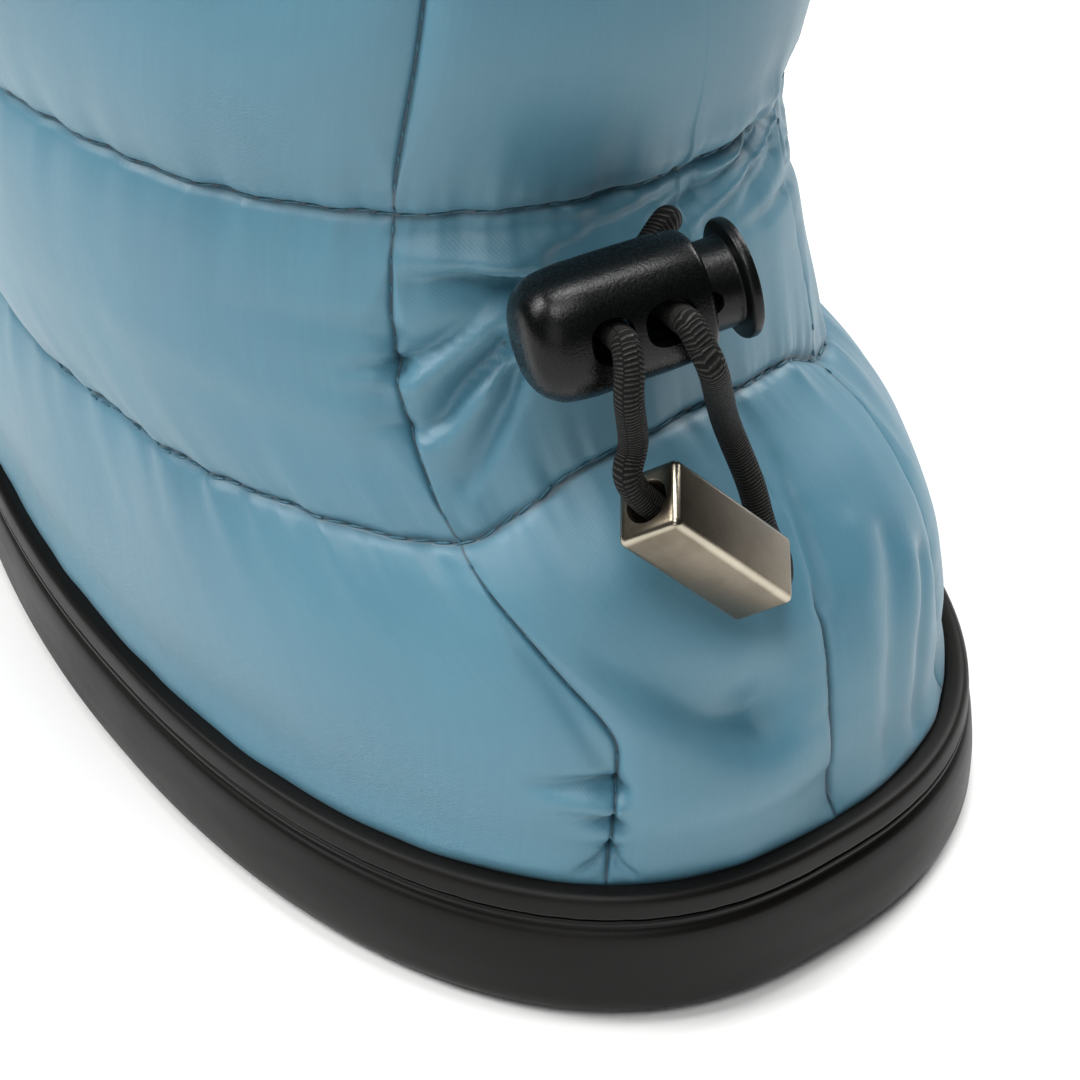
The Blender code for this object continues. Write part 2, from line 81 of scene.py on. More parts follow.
def linear(code: str) -> tuple[float, float, float, float]:
    """Turn an sRGB hex colour into linear values.

    Args:
        code: Six hex digits.

    Returns:
        Linear red, green, blue and a full alpha.
    """
    parts = [int(code[i:i + 2], 16) / 255.0 for i in (0, 2, 4)]
    red, green, blue = [p / 12.92 if p <= 0.04045 else ((p + 0.055) / 1.055) ** 2.4 for p in parts]
    return red, green, blue, 1.0


def plug(tree: bpy.types.NodeTree, node: Any, inputs: dict[Any, Any]) -> None:
    """Link or set the inputs of a node.

    Args:
        tree: Node tree that holds the node.
        node: The node.
        inputs: Input name or index, each with a socket to link or a value to set.
    """
    for name, value in inputs.items():
        if isinstance(value, bpy.types.NodeSocket):
            tree.links.new(value, node.inputs[name])
        else:
            node.inputs[name].default_value = value


def add_node(tree: bpy.types.NodeTree, kind: str, inputs: dict[Any, Any] | None = None, out: Any = 0,
             **settings: Any) -> Any:
    """Add a node with its settings and links.

    Args:
        tree: Node tree that takes the node.
        kind: Node type, without the words that every type starts with.
        inputs: Input name or index, each with a socket to link or a value to set.
        out: Name or index of the output to give back.
        settings: Properties of the node itself.

    Returns:
        The output socket.
    """
    node = tree.nodes.new("ShaderNode" + kind)
    for name, value in settings.items():
        setattr(node, name, value)
    plug(tree, node, inputs or {})
    return node.outputs[out]


def start_material(name: str) -> tuple[bpy.types.Material, bpy.types.NodeTree, Any]:
    """Make a material with one shader.

    Args:
        name: Common name of the stuff.

    Returns:
        The material, its node tree and its shader node.
    """
    material = bpy.data.materials.new(name)
    material.use_nodes = True
    tree = material.node_tree
    return material, tree, tree.nodes["Principled BSDF"]


def smooth_step(value: Array) -> Array:
    """Ease a share from 0 to 1."""
    value = np.clip(value, 0.0, 1.0)
    return value * value * (3.0 - 2.0 * value)


def ripple(run: Array, phase: float) -> Array:
    """Uneven waves of about one per unit of run, between -1 and 1."""
    return (0.5 * np.sin(TAU * run + phase) + 0.3 * np.sin(TAU * 0.618 * run + 1.7 * phase + 1.3)
            + 0.2 * np.sin(TAU * 1.618 * run + 0.6 * phase + 2.1))


def monotone(stations: Array, values: Array, at: Array) -> Array:
    """Read a smooth curve through a table without overshoot.

    Args:
        stations: Rising stations of the table.
        values: A value at each station.
        at: Places to read.

    Returns:
        The curve's value at each place.
    """
    at = np.clip(np.asarray(at, float), stations[0], stations[-1])
    span = np.diff(stations)
    rise = np.diff(values) / span
    slope = np.zeros_like(values)
    slope[0], slope[-1] = rise[0], rise[-1]
    for i in range(1, len(stations) - 1):
        if rise[i - 1] * rise[i] > 0.0:
            before = 2.0 * span[i] + span[i - 1]
            after = span[i] + 2.0 * span[i - 1]
            slope[i] = (before + after) / (before / rise[i - 1] + after / rise[i])
    k = np.clip(np.searchsorted(stations, at) - 1, 0, len(stations) - 2)
    t = (at - stations[k]) / span[k]
    low = (1.0 + 2.0 * t) * (1.0 - t) ** 2 * values[k] + t * (1.0 - t) ** 2 * span[k] * slope[k]
    high = t * t * (3.0 - 2.0 * t) * values[k + 1] + t * t * (t - 1.0) * span[k] * slope[k + 1]
    return low + high


def beside(far: Array, reach: float, gap: float) -> Array:
    """Nothing on a line, most a little way off it, and nothing again beyond its reach."""
    return np.exp(-far / reach) * (1.0 - np.exp(-far / gap))


def run_along(line: Array) -> Array:
    """Length of a line up to each of its points."""
    return np.concatenate([[0.0], np.cumsum(np.linalg.norm(np.diff(line, axis=0), axis=1))])


def read_along(line: Array, run: Array, at: Array) -> Array:
    """Values of a line at lengths along it."""
    return np.stack([np.interp(at, run, line[:, k]) for k in range(3)], 1)


def skin(places: Array, wrap_rows: bool = False, cloth: Array | None = None, marks: Array | None = None,
         mark_name: str = "crease") -> bmesh.types.BMesh:
    """Lay a sheet over rows of places that close round into loops.

    Args:
        places: Rows by columns of points in metres.
        wrap_rows: Whether the last row joins the first.
        cloth: Run of the cloth at each point, with one more column where the loop closes.
        marks: A number kept at each point.
        mark_name: Name of that number.

    Returns:
        The sheet, closed round its loops.
    """
    rows, columns = places.shape[:2]
    wide = np.concatenate([places, places[:, :1]], 1)
    marked = np.concatenate([marks, marks[:, :1]], 1).ravel() if marks is not None else None
    if wrap_rows:
        wide = np.concatenate([wide, wide[:1]], 0)
        marked = np.concatenate([marked, marked[:columns + 1]]) if marked is not None else None
    bm = bmesh.new()
    bmesh.ops.create_grid(bm, x_segments=columns, y_segments=wide.shape[0] - 1, size=1.0)
    layer = bm.verts.layers.float.new(mark_name) if marked is not None else None
    for i, (vert, place) in enumerate(zip(bm.verts, wide.reshape(-1, 3))):
        vert.co = place
        if layer is not None:
            vert[layer] = marked[i]
    if cloth is not None:
        bm.verts.index_update()
        runs = (np.concatenate([cloth, cloth[-1:]], 0) if wrap_rows else cloth).reshape(-1, 2)
        uv = bm.loops.layers.uv.new("cloth")
        for face in bm.faces:
            for loop in face.loops:
                loop[uv].uv = runs[loop.vert.index]
    rim = [v for i, v in enumerate(bm.verts) if i % (columns + 1) in (0, columns)
           or (wrap_rows and i // (columns + 1) in (0, rows))]
    bmesh.ops.remove_doubles(bm, verts=rim, dist=1e-7)
    return bm


def close_ends(bm: bmesh.types.BMesh) -> bmesh.types.BMesh:
    """Fill the open ends of a sheet and give it back."""
    bmesh.ops.holes_fill(bm, edges=[e for e in bm.edges if e.is_boundary], sides=0)
    return bm


def make_piece(name: str, bm: bmesh.types.BMesh, *materials: bpy.types.Material) -> bpy.types.Object:
    """Turn a bmesh into a smooth-shaded piece at the origin.

    Args:
        name: Name of the piece.
        bm: Its mesh, in place.
        materials: Its material slots in order.

    Returns:
        The object.
    """
    bmesh.ops.recalc_face_normals(bm, faces=bm.faces)
    mesh = bpy.data.meshes.new(name)
    bm.to_mesh(mesh)
    bm.free()
    mesh.shade_smooth()
    for material in materials:
        mesh.materials.append(material)
    piece = bpy.data.objects.new(name, mesh)
    bpy.context.scene.collection.objects.link(piece)
    return piece


def cut_away(piece: bpy.types.Object, cutter: bpy.types.Object) -> None:
    """Cut one piece out of another for good and drop the cutter.

    Args:
        piece: Piece to cut.
        cutter: Closed shape to take away.
    """
    cut = piece.modifiers.new("cut", "BOOLEAN")
    cut.operation = "DIFFERENCE"
    cut.solver = "EXACT"
    cut.object = cutter
    bpy.context.view_layer.update()
    mesh = bpy.data.meshes.new_from_object(piece.evaluated_get(bpy.context.evaluated_depsgraph_get()))
    piece.modifiers.clear()
    mesh.name = piece.name
    piece.data = mesh
    bpy.data.objects.remove(cutter, do_unlink=True)


def soften_edges(piece: bpy.types.Object, width: float, segments: int, angle: float) -> None:
    """Round the sharp edges of a moulded piece.

    Args:
        piece: Piece to round.
        width: Width of the rounding in millimetres.
        segments: Steps across it.
        angle: Edges sharper than this, in degrees, are rounded.
    """
    bevel = piece.modifiers.new("rounding", "BEVEL")
    bevel.width = width * MM
    bevel.segments = segments
    bevel.limit_method = "ANGLE"
    bevel.angle_limit = math.radians(angle)
    shade = piece.modifiers.new("shading", "WEIGHTED_NORMAL")
    shade.keep_sharp = True


# The shape that every piece is cut to


class UpperRow(NamedTuple):
    """One level of the upper's envelope."""

    height: float
    back: float
    front: float
    lateral: float
    medial: float
    widest: float
    heel_round: float
    toe_lateral: float
    toe_medial: float
    swing: float


class SeamRow(NamedTuple):
    """Angles of the heel panel's seams at one height, in degrees."""

    height: float
    lateral: float
    medial: float
    dart: float


@dataclass(frozen=True)
class Last:
    """Shoe last: the plan of the sole and the envelope of the upper, in the bootie's own sizes."""

    mid_station: float = 75.508892
    mid_side: float = -4.884687
    sole_length: float = 151.0
    lateral_half: float = 35.4
    lateral_at: float = 63.0
    medial_half: float = 38.4
    medial_at: float = 64.0
    heel_round: float = 2.47
    toe_round_lateral: float = 1.90
    toe_round_medial: float = 2.50
    toe_swing: float = 16.0
    medial_flare: float = 2.4
    rim_top: float = 13.4
    toe_spring: float = 5.5
    spring_from: float = 104.0
    arch: float = 1.4
    arch_from: float = 54.0
    arch_to: float = 82.0
    arch_edge: float = 8.0
    arch_fade: float = 30.0
    lift_top: float = 40.0
    lift_fade: float = 20.0
    middle: tuple[float, float] = (72.0, -3.0)
    collar_top: float = 118.0
    mid_line: float = 65.8
    top_line: float = 94.0
    rows: tuple[UpperRow, ...] = (
        UpperRow(13.4, 3.0, 147.8, 32.8, 35.4, 63.0, 2.45, 1.90, 2.50, 16.0),
        UpperRow(20.0, 2.2, 148.4, 33.6, 35.6, 63.0, 2.45, 1.92, 2.50, 16.0),
        UpperRow(26.0, 2.6, 146.8, 33.8, 34.8, 63.0, 2.42, 1.94, 2.45, 16.0),
        UpperRow(32.0, 4.6, 142.5, 33.8, 33.6, 63.0, 2.38, 1.96, 2.40, 15.2),
        UpperRow(38.0, 8.6, 135.5, 33.8, 31.8, 63.0, 2.32, 1.98, 2.32, 13.2),
        UpperRow(45.0, 14.0, 126.0, 33.9, 29.4, 63.0, 2.25, 2.00, 2.24, 9.6),
        UpperRow(54.0, 17.6, 116.5, 34.4, 27.4, 63.0, 2.20, 2.03, 2.16, 5.0),
        UpperRow(60.0, 18.6, 111.8, 34.6, 27.4, 63.2, 2.18, 2.06, 2.12, 2.2),
        UpperRow(66.0, 19.0, 108.2, 34.8, 29.4, 63.4, 2.18, 2.10, 2.10, 0.0),
        UpperRow(80.0, 17.6, 108.6, 36.0, 31.0, 63.2, 2.15, 2.12, 2.12, 0.0),
        UpperRow(94.0, 18.4, 107.6, 35.2, 30.2, 63.0, 2.12, 2.10, 2.10, 0.0),
        UpperRow(118.0, 19.0, 107.0, 34.6, 29.6, 63.0, 2.10, 2.10, 2.10, 0.0),
    )
    seams: tuple[SeamRow, ...] = (
        SeamRow(5.0, 27.0, -29.0, -1.5),
        SeamRow(13.4, 27.0, -29.0, -1.5),
        SeamRow(20.0, 26.2, -28.5, -1.5),
        SeamRow(26.0, 25.4, -28.0, -1.8),
        SeamRow(33.0, 31.5, -30.0, -2.4),
        SeamRow(41.0, 38.0, -33.0, -2.5),
        SeamRow(50.5, 39.5, -32.0, 0.0),
        SeamRow(65.8, 37.0, -28.0, 0.0),
        SeamRow(94.0, 31.0, -30.0, 0.0),
        SeamRow(118.0, 30.5, -32.0, 0.0),
    )
    low_line_level: float = 42.0
    low_line_rows: tuple[tuple[float, float], ...] = (
        (-180, 43.0), (-140, 40.0), (-101, 36.0), (-62, 40.0), (-38, 42.5), (-20, 46.5), (0, 47.6), (16, 46.2),
        (28, 43.4), (38, 41.0), (62, 39.6), (87, 36.8), (101, 35.2), (140, 39.0), (180, 43.0))

    def frame(self, points: Array) -> Array:
        """Points of the last in the part's frame, in metres."""
        points = np.asarray(points, float)
        return np.stack([points[..., 1] - self.mid_side, self.mid_station - points[..., 0], points[..., 2]], -1) * MM

    def section(self, angle: Array, row: dict[str, Any], lateral_at: Any, medial_at: Any) -> tuple[Array, Array]:
        """Plan section of the foot.

        Args:
            angle: Angles from the middle of the heel.
            row: Sizes of the section, each by its name.
            lateral_at: Station of the widest place on the lateral side.
            medial_at: Station of the widest place on the medial side.

        Returns:
            Station and side at each angle.
        """
        c, s = np.cos(angle), np.sin(angle)
        at = np.where(s >= 0.0, lateral_at, medial_at)
        toe = np.where(s >= 0.0, row["toe_lateral"], row["toe_medial"])
        power = np.where(c >= 0.0, row["heel_round"], toe)
        reach = np.where(c >= 0.0, at - row["back"], row["front"] - at)
        station = at - np.sign(c) * reach * np.abs(c) ** (2.0 / power)
        side = np.sign(s) * np.where(s >= 0.0, row["lateral"], row["medial"]) * np.abs(s) ** (2.0 / power)
        return station, side - row["swing"] * (np.clip(station, 0.0, None) / self.sole_length) ** 2

    def inset(self, station: Array, side: Array, amount: Any) -> tuple[Array, Array]:
        """Move closed plan loops inwards.

        Args:
            station: Stations, with each loop along the last axis.
            side: Sides.
            amount: How far to move.

        Returns:
            The moved stations and sides.
        """
        along = np.roll(station, -1, -1) - np.roll(station, 1, -1)
        across = np.roll(side, -1, -1) - np.roll(side, 1, -1)
        size = np.hypot(along, across)
        return station + amount * across / size, side - amount * along / size

    def toe_lift(self, station: Array) -> Array:
        """Toe spring at a station."""
        share = np.clip((station - self.spring_from) / (self.sole_length - self.spring_from), 0.0, None)
        return self.toe_spring * share ** 2

    def arch_lift(self, station: Array, side: Array) -> Array:
        """Arch under the medial side at a place on the tread."""
        along = np.clip((station - self.arch_from) / (self.arch_to - self.arch_from), 0.0, 1.0)
        return self.arch * np.sin(math.pi * along) ** 2 * smooth_step((self.arch_edge - side) / self.arch_fade)

    def upper_lift(self, station: Array, height: Array) -> Array:
        """Toe spring at a place of the upper, which fades out upwards."""
        return self.toe_lift(station) * np.clip((self.lift_top - height) / self.lift_fade, 0.0, 1.0)

    def shrink(self, station: Array, side: Array, share: float) -> tuple[Array, Array]:
        """Draw a plan loop in towards the middle of the sole, to a share of its size."""
        along, across = self.middle
        return along + share * (station - along), across + share * (side - across)

    def sole_loop(self, angle: Array, amount: float, height: float) -> tuple[Array, Array]:
        """Plan loop of the sole.

        Args:
            angle: Angles from the middle of the heel.
            amount: How far the loop lies inside the sole's outline.
            height: Height over the floor, for the flare of the side.

        Returns:
            Station and side at each angle.
        """
        flare = self.medial_flare * max(0.0, 1.0 - height / self.rim_top)
        row = {"back": 0.0, "front": self.sole_length, "lateral": self.lateral_half,
               "medial": self.medial_half + flare, "heel_round": self.heel_round,
               "toe_lateral": self.toe_round_lateral, "toe_medial": self.toe_round_medial, "swing": self.toe_swing}
        station, side = self.section(angle, row, self.lateral_at, self.medial_at)
        return self.inset(station, side, amount)

    def envelope(self, angle: Array, height: Array) -> tuple[Array, Array]:
        """Upper's smooth envelope.

        Args:
            angle: Angles from the middle of the heel.
            height: Height at each angle.

        Returns:
            Station and side at each place.
        """
        table = np.array(self.rows, float).T
        row = {name: monotone(table[0], values, height) for name, values in zip(UpperRow._fields, table)}
        return self.section(angle, row, row["widest"], row["widest"])

    def low_line(self, angle: Array) -> Array:
        """Height of the lowest line of quilting."""
        rows = np.array(self.low_line_rows, float)
        return monotone(rows[:, 0], rows[:, 1], (np.degrees(angle) + 180.0) % 360.0 - 180.0)

    def seam_angle(self, seam: Seam, height: Array) -> Array:
        """Angle of a seam of the heel panel at a height."""
        table = np.array(self.seams, float).T
        return np.radians(monotone(table[0], table[SeamRow._fields.index(seam.name.lower())], height))

    def column_angle(self, share: Array, height: Array) -> Array:
        """Angle of a column, which leans with the seams.

        Args:
            share: Place round the upper: 0, 1, 2, 3 and 4 are dart, lateral seam, toe, medial seam and dart.
            height: Heights to read.

        Returns:
            Angle at each place.
        """
        share, height = np.broadcast_arrays(np.asarray(share, float), np.asarray(height, float))
        dart = self.seam_angle(Seam.DART, height)
        knots = np.stack([dart, self.seam_angle(Seam.LATERAL, height), np.full_like(dart, math.pi),
                          TAU + self.seam_angle(Seam.MEDIAL, height), TAU + dart])
        k = np.clip(share.astype(int), 0, 3)
        low = np.take_along_axis(knots, k[None], 0)[0]
        high = np.take_along_axis(knots, k[None] + 1, 0)[0]
        return low + (share - k) * (high - low)

    def place(self, angle: float, height: float) -> Array:
        """Point of the envelope at an angle in degrees and a height."""
        station, side = self.envelope(np.radians(np.array([angle])), np.array([height]))
        return np.array([station[0], side[0], height])


class Jig:
    """Local frame of a small hard piece: along its axis, out from the heel, and up."""

    def __init__(self, centre: Sequence[float], axis: Sequence[float], out: Sequence[float]) -> None:
        """Set the jig.

        Args:
            centre: Station, side and height of its middle.
            axis: Direction along the piece.
            out: Direction away from the heel, squared to the axis here.
        """
        self.centre = np.asarray(centre, float)
        self.axis = np.asarray(axis, float) / np.linalg.norm(axis)
        out = np.asarray(out, float) - np.dot(out, self.axis) * self.axis
        self.out = out / np.linalg.norm(out)
        self.up = np.cross(self.out, self.axis)

    def place(self, along: Any, out: Any, up: Any) -> Array:
        """Points of the jig in stations, sides and heights."""
        along, out, up = (np.asarray(v, float)[..., None] for v in (along, out, up))
        return self.centre + along * self.axis + out * self.out + up * self.up

    def ring(self, along: float, half_out: float, half_up: float, count: int, power: float = 2.0) -> Array:
        """Rounded loop across the axis.

        Args:
            along: Place on the axis.
            half_out: Half of the loop's depth.
            half_up: Half of its height.
            count: Points in it.
            power: Squareness, 2 for an ellipse.

        Returns:
            Points of the loop.
        """
        turns = np.linspace(0.0, TAU, count, endpoint=False)
        c, s = np.cos(turns), np.sin(turns)
        return self.place(np.full(count, along), half_out * np.sign(c) * np.abs(c) ** (2.0 / power),
                          half_up * np.sign(s) * np.abs(s) ** (2.0 / power))

    def cross_ring(self, along: float, out: float, half_along: float, half_up: float, count: int) -> Array:
        """Oblong loop across the outward direction.

        Args:
            along: Place of its middle on the axis.
            out: Place along the outward direction.
            half_along: Half of its length.
            half_up: Half of its height.
            count: Points in it.

        Returns:
            Points of the loop.
        """
        # Turned a little, so that no point meets a facet's edge in a cut.
        turns = np.linspace(0.0, TAU, count, endpoint=False) + 0.11
        c, s = np.cos(turns), np.sin(turns)
        return self.place(along + half_along * np.sign(c) * np.abs(c) ** 0.8, np.full(count, out),
                          half_up * np.sign(s) * np.abs(s) ** 0.8)

    def matrix(self, last: Last) -> Matrix:
        """Move from the jig's own axes, in metres, to the part's frame.

        Args:
            last: The last that the jig is placed on.

        Returns:
            The move as a matrix.
        """
        origin = last.frame(self.centre)
        axes = [(last.frame(self.centre + v) - origin) / MM for v in (self.axis, self.out, self.up)]
        turn = Matrix(np.array(axes).T.tolist()).to_4x4()
        return Matrix.Translation(Vector(origin)) @ turn


# Finishes


@dataclass(frozen=True)
class Nylon:
    """Coated nylon taffeta, dyed dusty blue: a fine plain weave with a soft grey sheen where light grazes it."""

    dye: str = "487e92"
    dye_deep: str = "407084"
    # Dark teal painted into the seam and quilting lines as painted shade in their creases.
    crease: str = "0b3342"
    thread: float = 0.30
    mottle: float = 18.0
    crinkle: float = 3.2
    roughness: float = 0.50

    def material(self) -> bpy.types.Material:
        """Fabric with its weave on the cloth's own run, so that it follows the panels; seam and quilting lines get
        painted shade.

        Returns:
            The material.
        """
        material, tree, shader = start_material("coated_nylon_taffeta")
        cloth = add_node(tree, "UVMap", uv_map="cloth")
        waves = []
        for name in ("X", "Y"):
            # Drawn about twice as coarse as the real thread, so that it shows at this distance.
            axis = add_node(tree, "SeparateXYZ", {0: cloth}, name)
            turn = add_node(tree, "Math", {0: axis, 1: TAU / self.thread}, operation="MULTIPLY")
            waves.append(add_node(tree, "Math", {0: turn}, operation="SINE"))
        weave = add_node(tree, "Math", {0: waves[0], 1: waves[1]}, operation="MULTIPLY")
        place = add_node(tree, "TexCoord", out="Object")
        mottle = add_node(tree, "TexNoise", {"Vector": place, "Scale": 1.0 / (self.mottle * MM), "Detail": 3.0,
                                             "Roughness": 0.5})
        slub = add_node(tree, "Mapping", {"Vector": cloth, "Scale": (2.6, 0.12, 1.0)})
        slubs = add_node(tree, "TexNoise", {"Vector": slub, "Scale": 1.0, "Detail": 2.0})
        shade = add_node(tree, "Math", {0: weave, 1: 0.10, 2: mottle}, operation="MULTIPLY_ADD")
        shade = add_node(tree, "Math", {0: slubs, 1: 0.35, 2: shade}, operation="MULTIPLY_ADD")
        span = add_node(tree, "MapRange", {"Value": shade, "From Min": 0.35, "From Max": 1.0})
        dyed = add_node(tree, "Mix", {0: span, 6: linear(self.dye_deep), 7: linear(self.dye)}, 2, data_type="RGBA")
        # Painted shade: the colour darkens towards the crease colour along the seam and quilting lines.
        crease = add_node(tree, "Attribute", out="Fac", attribute_name="crease")
        crease_shaded = add_node(tree, "Mix", {0: crease, 6: dyed, 7: linear(self.crease)}, 2, data_type="RGBA")
        gloss = add_node(tree, "MapRange", {"Value": mottle, "From Min": 0.3, "From Max": 0.7,
                                            "To Min": self.roughness - 0.04, "To Max": self.roughness + 0.05})
        crinkle = add_node(tree, "TexNoise", {"Vector": place, "Scale": 1.0 / (self.crinkle * MM), "Detail": 3.0,
                                              "Roughness": 0.55})
        soft = add_node(tree, "Bump", {"Height": crinkle, "Strength": 0.35, "Distance": 0.16 * MM})
        fine = add_node(tree, "Bump", {"Height": weave, "Strength": 0.22, "Distance": 0.02 * MM, "Normal": soft})
        plug(tree, shader, {"Base Color": crease_shaded, "Roughness": gloss, "Normal": fine, "Sheen Weight": 0.12,
                            "Sheen Roughness": 0.45, "Specular IOR Level": 0.85})
        return material


@dataclass(frozen=True)
class MattedFibre:
    """Short matted fibres, as of a knit's pile or a felt: two tones and a soft relief of the same clouds."""

    name: str
    light: str
    deep: str
    size: float
    detail: float
    tangle: tuple[float, float]
    relief: float
    sheen: float

    def material(self) -> bpy.types.Material:
        """Matte fibres.

        Returns:
            The material.
        """
        material, tree, shader = start_material(self.name)
        place = add_node(tree, "TexCoord", out="Object")
        pile = add_node(tree, "TexNoise", {"Vector": place, "Scale": 1.0 / (self.size * MM), "Detail": self.detail,
                                           "Roughness": self.tangle[0], "Distortion": self.tangle[1]})
        tint = add_node(tree, "Mix", {0: pile, 6: linear(self.deep), 7: linear(self.light)}, 2, data_type="RGBA")
        bump = add_node(tree, "Bump", {"Height": pile, "Strength": self.relief, "Distance": 0.3 * MM})
        plug(tree, shader, {"Base Color": tint, "Roughness": 0.95, "Normal": bump, "Sheen Weight": self.sheen})
        return material


BRUSHED_TRICOT = MattedFibre("brushed_tricot_lining", "8b9298", "6d747a", 0.8, 4.0, (0.5, 0.0), 0.6, 0.4)
NEEDLED_FELT = MattedFibre("needled_felt", "43474b", "2c2f33", 1.2, 6.0, (0.7, 1.5), 0.5, 0.0)


@dataclass(frozen=True)
class SoleRubber:
    """Moulded black rubber: satin skin, faint flow marks and a warm grey bloom."""

    black: str = "080706"
    bloom: str = "110f0d"
    flow: float = 22.0
    scuff: float = 6.0
    grain: float = 0.35
    roughness: float = 0.44

    def material(self) -> bpy.types.Material:
        """Rubber with flow marks along the sidewall and a fine moulded skin.

        Returns:
            The material.
        """
        material, tree, shader = start_material("moulded_rubber")
        place = add_node(tree, "TexCoord", out="Object")
        band = add_node(tree, "Mapping", {"Vector": place, "Scale": (1.0, 1.0, 5.0)})
        flow = add_node(tree, "TexNoise", {"Vector": band, "Scale": 1.0 / (self.flow * MM), "Detail": 4.0,
                                           "Roughness": 0.6})
        tint = add_node(tree, "Mix", {0: flow, 6: linear(self.black), 7: linear(self.bloom)}, 2, data_type="RGBA")
        gloss = add_node(tree, "MapRange", {"Value": flow, "From Min": 0.3, "From Max": 0.7,
                                            "To Min": self.roughness - 0.06, "To Max": self.roughness + 0.08})
        grain = add_node(tree, "TexNoise", {"Vector": place, "Scale": 1.0 / (self.grain * MM), "Detail": 2.0})
        scuff = add_node(tree, "TexNoise", {"Vector": place, "Scale": 1.0 / (self.scuff * MM), "Detail": 3.0})
        wave = add_node(tree, "Bump", {"Height": scuff, "Strength": 0.25, "Distance": 0.15 * MM})
        bump = add_node(tree, "Bump", {"Height": grain, "Strength": 0.12, "Distance": 0.03 * MM, "Normal": wave})
        plug(tree, shader, {"Base Color": tint, "Roughness": gloss, "Normal": bump, "IOR": 1.52,
                            "Specular IOR Level": 0.16})
        return material


@dataclass(frozen=True)
class SparkedPlastic:
    """Moulded black acetal from a spark-eroded tool: a fine sandy skin that glitters in the highlight."""

    name: str = "spark_textured_acetal"
    black: str = "030404"
    grit: float = 0.2
    roughness: float = 0.27
    bloom: str = "060707"
    cloud: float = 5.0

    def material(self) -> bpy.types.Material:
        """Plastic with a sandy skin.

        Returns:
            The material.
        """
        material, tree, shader = start_material(self.name)
        place = add_node(tree, "TexCoord", out="Object")
        grit = add_node(tree, "TexNoise", {"Vector": place, "Scale": 1.0 / (self.grit * MM), "Detail": 2.0,
                                           "Roughness": 0.6})
        cloud = add_node(tree, "TexNoise", {"Vector": place, "Scale": 1.0 / (self.cloud * MM)})
        tint = add_node(tree, "Mix", {0: cloud, 6: linear(self.black), 7: linear(self.bloom)}, 2, data_type="RGBA")
        gloss = add_node(tree, "MapRange", {"Value": grit, "From Min": 0.3, "From Max": 0.7,
                                            "To Min": self.roughness - 0.04, "To Max": self.roughness + 0.06})
        bump = add_node(tree, "Bump", {"Height": grit, "Strength": 0.45, "Distance": 0.05 * MM})
        plug(tree, shader, {"Base Color": tint, "Roughness": gloss, "Normal": bump, "IOR": 1.48,
                            "Specular IOR Level": 0.24})
        return material


@dataclass(frozen=True)
class AntiqueNickel:
    """Cast zinc with an antique nickel finish: tumbled, dark in its skin and rubbed bright along its edges."""

    bright: str = "cfc7b5"
    skin: str = "7b7264"
    dark: str = "5d5548"
    patch: float = 6.0
    fleck: float = 0.35
    rough: tuple[float, float] = (0.28, 0.20)

    def material(self) -> bpy.types.Material:
        """Metal with a patchy skin and bright rubbed edges.

        Returns:
            The material.
        """
        material, tree, shader = start_material("antique_nickel")
        place = add_node(tree, "TexCoord", out="Object")
        patch = add_node(tree, "TexNoise", {"Vector": place, "Scale": 1.0 / (self.patch * MM), "Detail": 4.0,
                                            "Roughness": 0.55})
        fleck = add_node(tree, "TexNoise", {"Vector": place, "Scale": 1.0 / (self.fleck * MM), "Detail": 3.0,
                                            "Roughness": 0.7})
        span = add_node(tree, "MapRange", {"Value": patch, "From Min": 0.3, "From Max": 0.62})
        body = add_node(tree, "Mix", {0: span, 6: linear(self.dark), 7: linear(self.skin)}, 2, data_type="RGBA")
        pits = add_node(tree, "MapRange", {"Value": fleck, "From Min": 0.34, "From Max": 0.46, "To Min": 0.25,
                                           "To Max": 0.0})
        pitted = add_node(tree, "Mix", {0: pits, 6: body, 7: linear(self.dark)}, 2, data_type="RGBA")
        edge = add_node(tree, "Attribute", out="Fac", attribute_name="wear")
        rub = add_node(tree, "Math", {0: patch, 1: 0.3, 2: edge}, operation="MULTIPLY_ADD")
        rubbed = add_node(tree, "MapRange", {"Value": rub, "From Min": 0.35, "From Max": 1.05})
        tint = add_node(tree, "Mix", {0: rubbed, 6: pitted, 7: linear(self.bright)}, 2, data_type="RGBA")
        gloss = add_node(tree, "MapRange", {"Value": rubbed, "To Min": self.rough[0], "To Max": self.rough[1]})
        bump = add_node(tree, "Bump", {"Height": fleck, "Strength": 0.15, "Distance": 0.03 * MM})
        plug(tree, shader, {"Base Color": tint, "Metallic": 1.0, "Roughness": gloss, "Normal": bump})
        return material


